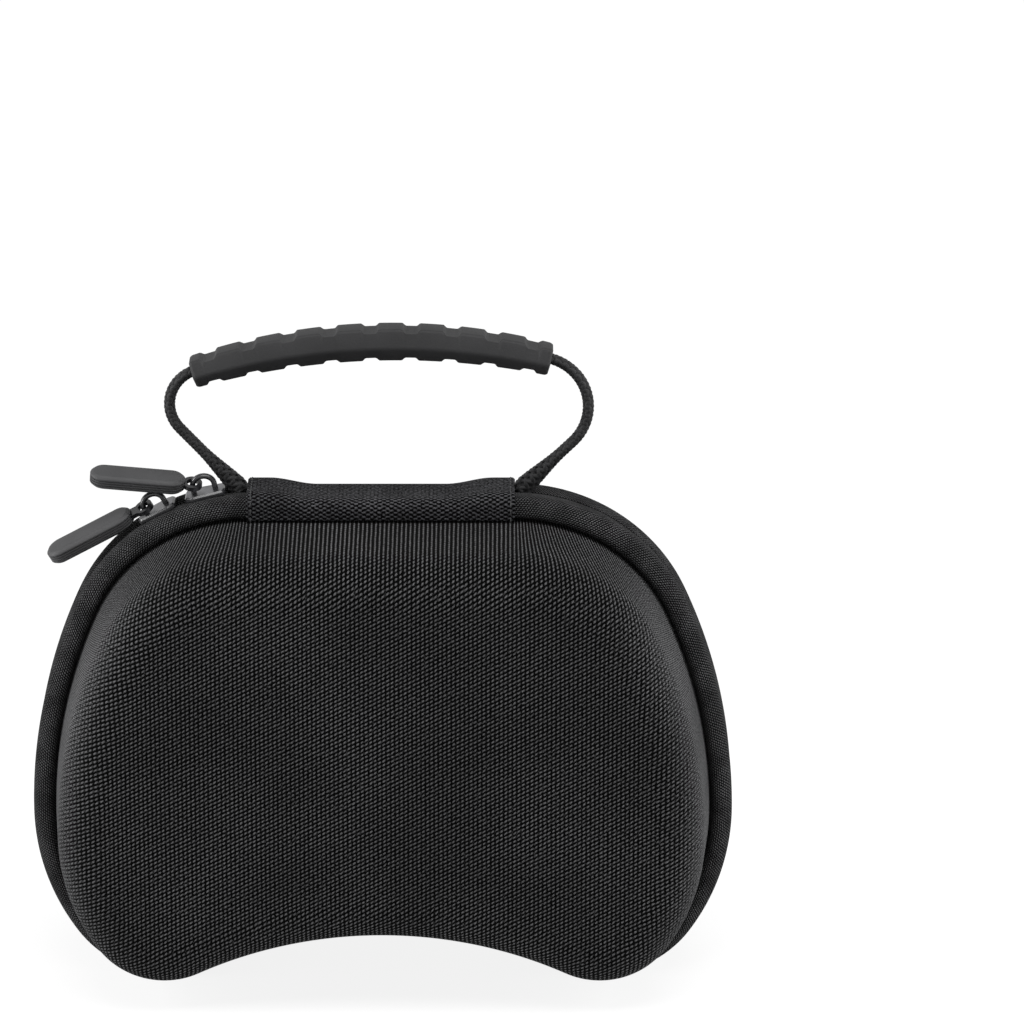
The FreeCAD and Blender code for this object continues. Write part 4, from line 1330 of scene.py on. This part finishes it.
# name, place, width, height, watts
softboxes = (
    ("top softbox", (0.1, -0.35, 1.1), 0.9, 0.5, 15),
    ("left softbox", (-1.0, -0.12, 0.35), 0.35, 0.9, 17),
    ("right softbox", (1.0, -0.05, 0.35), 0.35, 0.9, 12),
    ("front fill", (-0.3, -1.5, 0.6), 0.8, 0.6, 4),
)


def seenRays(tree):
    # 1 where the background is seen directly, in a gloss or through glass
    path = addNode(tree, "ShaderNodeLightPath").outputs
    seen = path["Is Camera Ray"]
    for ray in ("Is Glossy Ray", "Is Transmission Ray"):
        seen = addNode(tree, "ShaderNodeMath", {0: seen, 1: path[ray]}, operation="MAXIMUM")
    return seen


def makeFloor():
    s = studio
    half = s["floorSize"] / 2
    corners = [(-half, -half, 0), (half, -half, 0), (half, half, 0), (-half, half, 0)]
    mesh = bpy.data.meshes.new("floor")
    mesh.from_pydata(corners, [], [(0, 1, 2, 3)])
    floor = newObject("floor", mesh)
    material = bpy.data.materials.new("pale paper sweep")
    material.use_nodes = True
    tree = material.node_tree
    tree.nodes.clear()
    paper = addNode(tree, "ShaderNodeBsdfDiffuse", {"Color": s["paper"]})
    glow = addNode(tree, "ShaderNodeEmission", {"Color": s["white"], "Strength": s["glow"]})
    place = addNode(tree, "ShaderNodeTexCoord").outputs["Object"]
    away = addNode(tree, "ShaderNodeVectorMath", {0: place}, operation="LENGTH").outputs["Value"]
    reach = {"Value": away, "From Min": s["whiteFrom"], "From Max": s["whiteFull"]}
    far = addNode(tree, "ShaderNodeMapRange", {**reach, "To Min": s["floorWhite"], "To Max": 1.0})
    share = addNode(tree, "ShaderNodeMath", {0: seenRays(tree), 1: far}, operation="MULTIPLY")
    mixed = addNode(tree, "ShaderNodeMixShader", {0: share, 1: paper, 2: glow})
    addNode(tree, "ShaderNodeOutputMaterial", {"Surface": mixed})
    mesh.materials.append(material)


def makeWorld():
    world = bpy.data.worlds.new("studio")
    bpy.context.scene.world = world
    world.use_nodes = True
    tree = world.node_tree
    tree.nodes.clear()
    light = {"Value": seenRays(tree), "To Min": studio["ambient"]}
    strength = addNode(tree, "ShaderNodeMapRange", light)
    sky = addNode(tree, "ShaderNodeBackground", {"Color": studio["white"], "Strength": strength})
    addNode(tree, "ShaderNodeOutputWorld", {"Surface": sky})


def addSoftbox(name, place, width, height, watts):
    lamp = bpy.data.lights.new(name, "AREA")
    lamp.shape = "RECTANGLE"
    lamp.size = width
    lamp.size_y = height
    lamp.energy = watts
    light = newObject(name, lamp)
    light.location = place
    aim = Vector(studio["lampTarget"]) - Vector(place)
    light.rotation_euler = aim.to_track_quat("-Z", "Y").to_euler()


def makeCamera():
    s = studio
    camera = bpy.data.cameras.new("camera")
    camera.sensor_width = s["filmWidth"]
    camera.lens = s["filmWidth"] * s["distance"] / s["frameWidth"]
    holder = newObject("camera", camera)
    lift = math.radians(s["elevation"])
    back = Vector((0, -math.cos(lift), math.sin(lift))) * s["distance"]
    holder.location = Vector(s["target"]) + back
    holder.rotation_euler = (math.pi / 2 - lift, 0, 0)
    bpy.context.scene.camera = holder


makeFloor()
makeWorld()
for softbox in softboxes:
    addSoftbox(*softbox)
makeCamera()
bpy.context.scene.view_settings.view_transform = "Standard"
print("studio made")
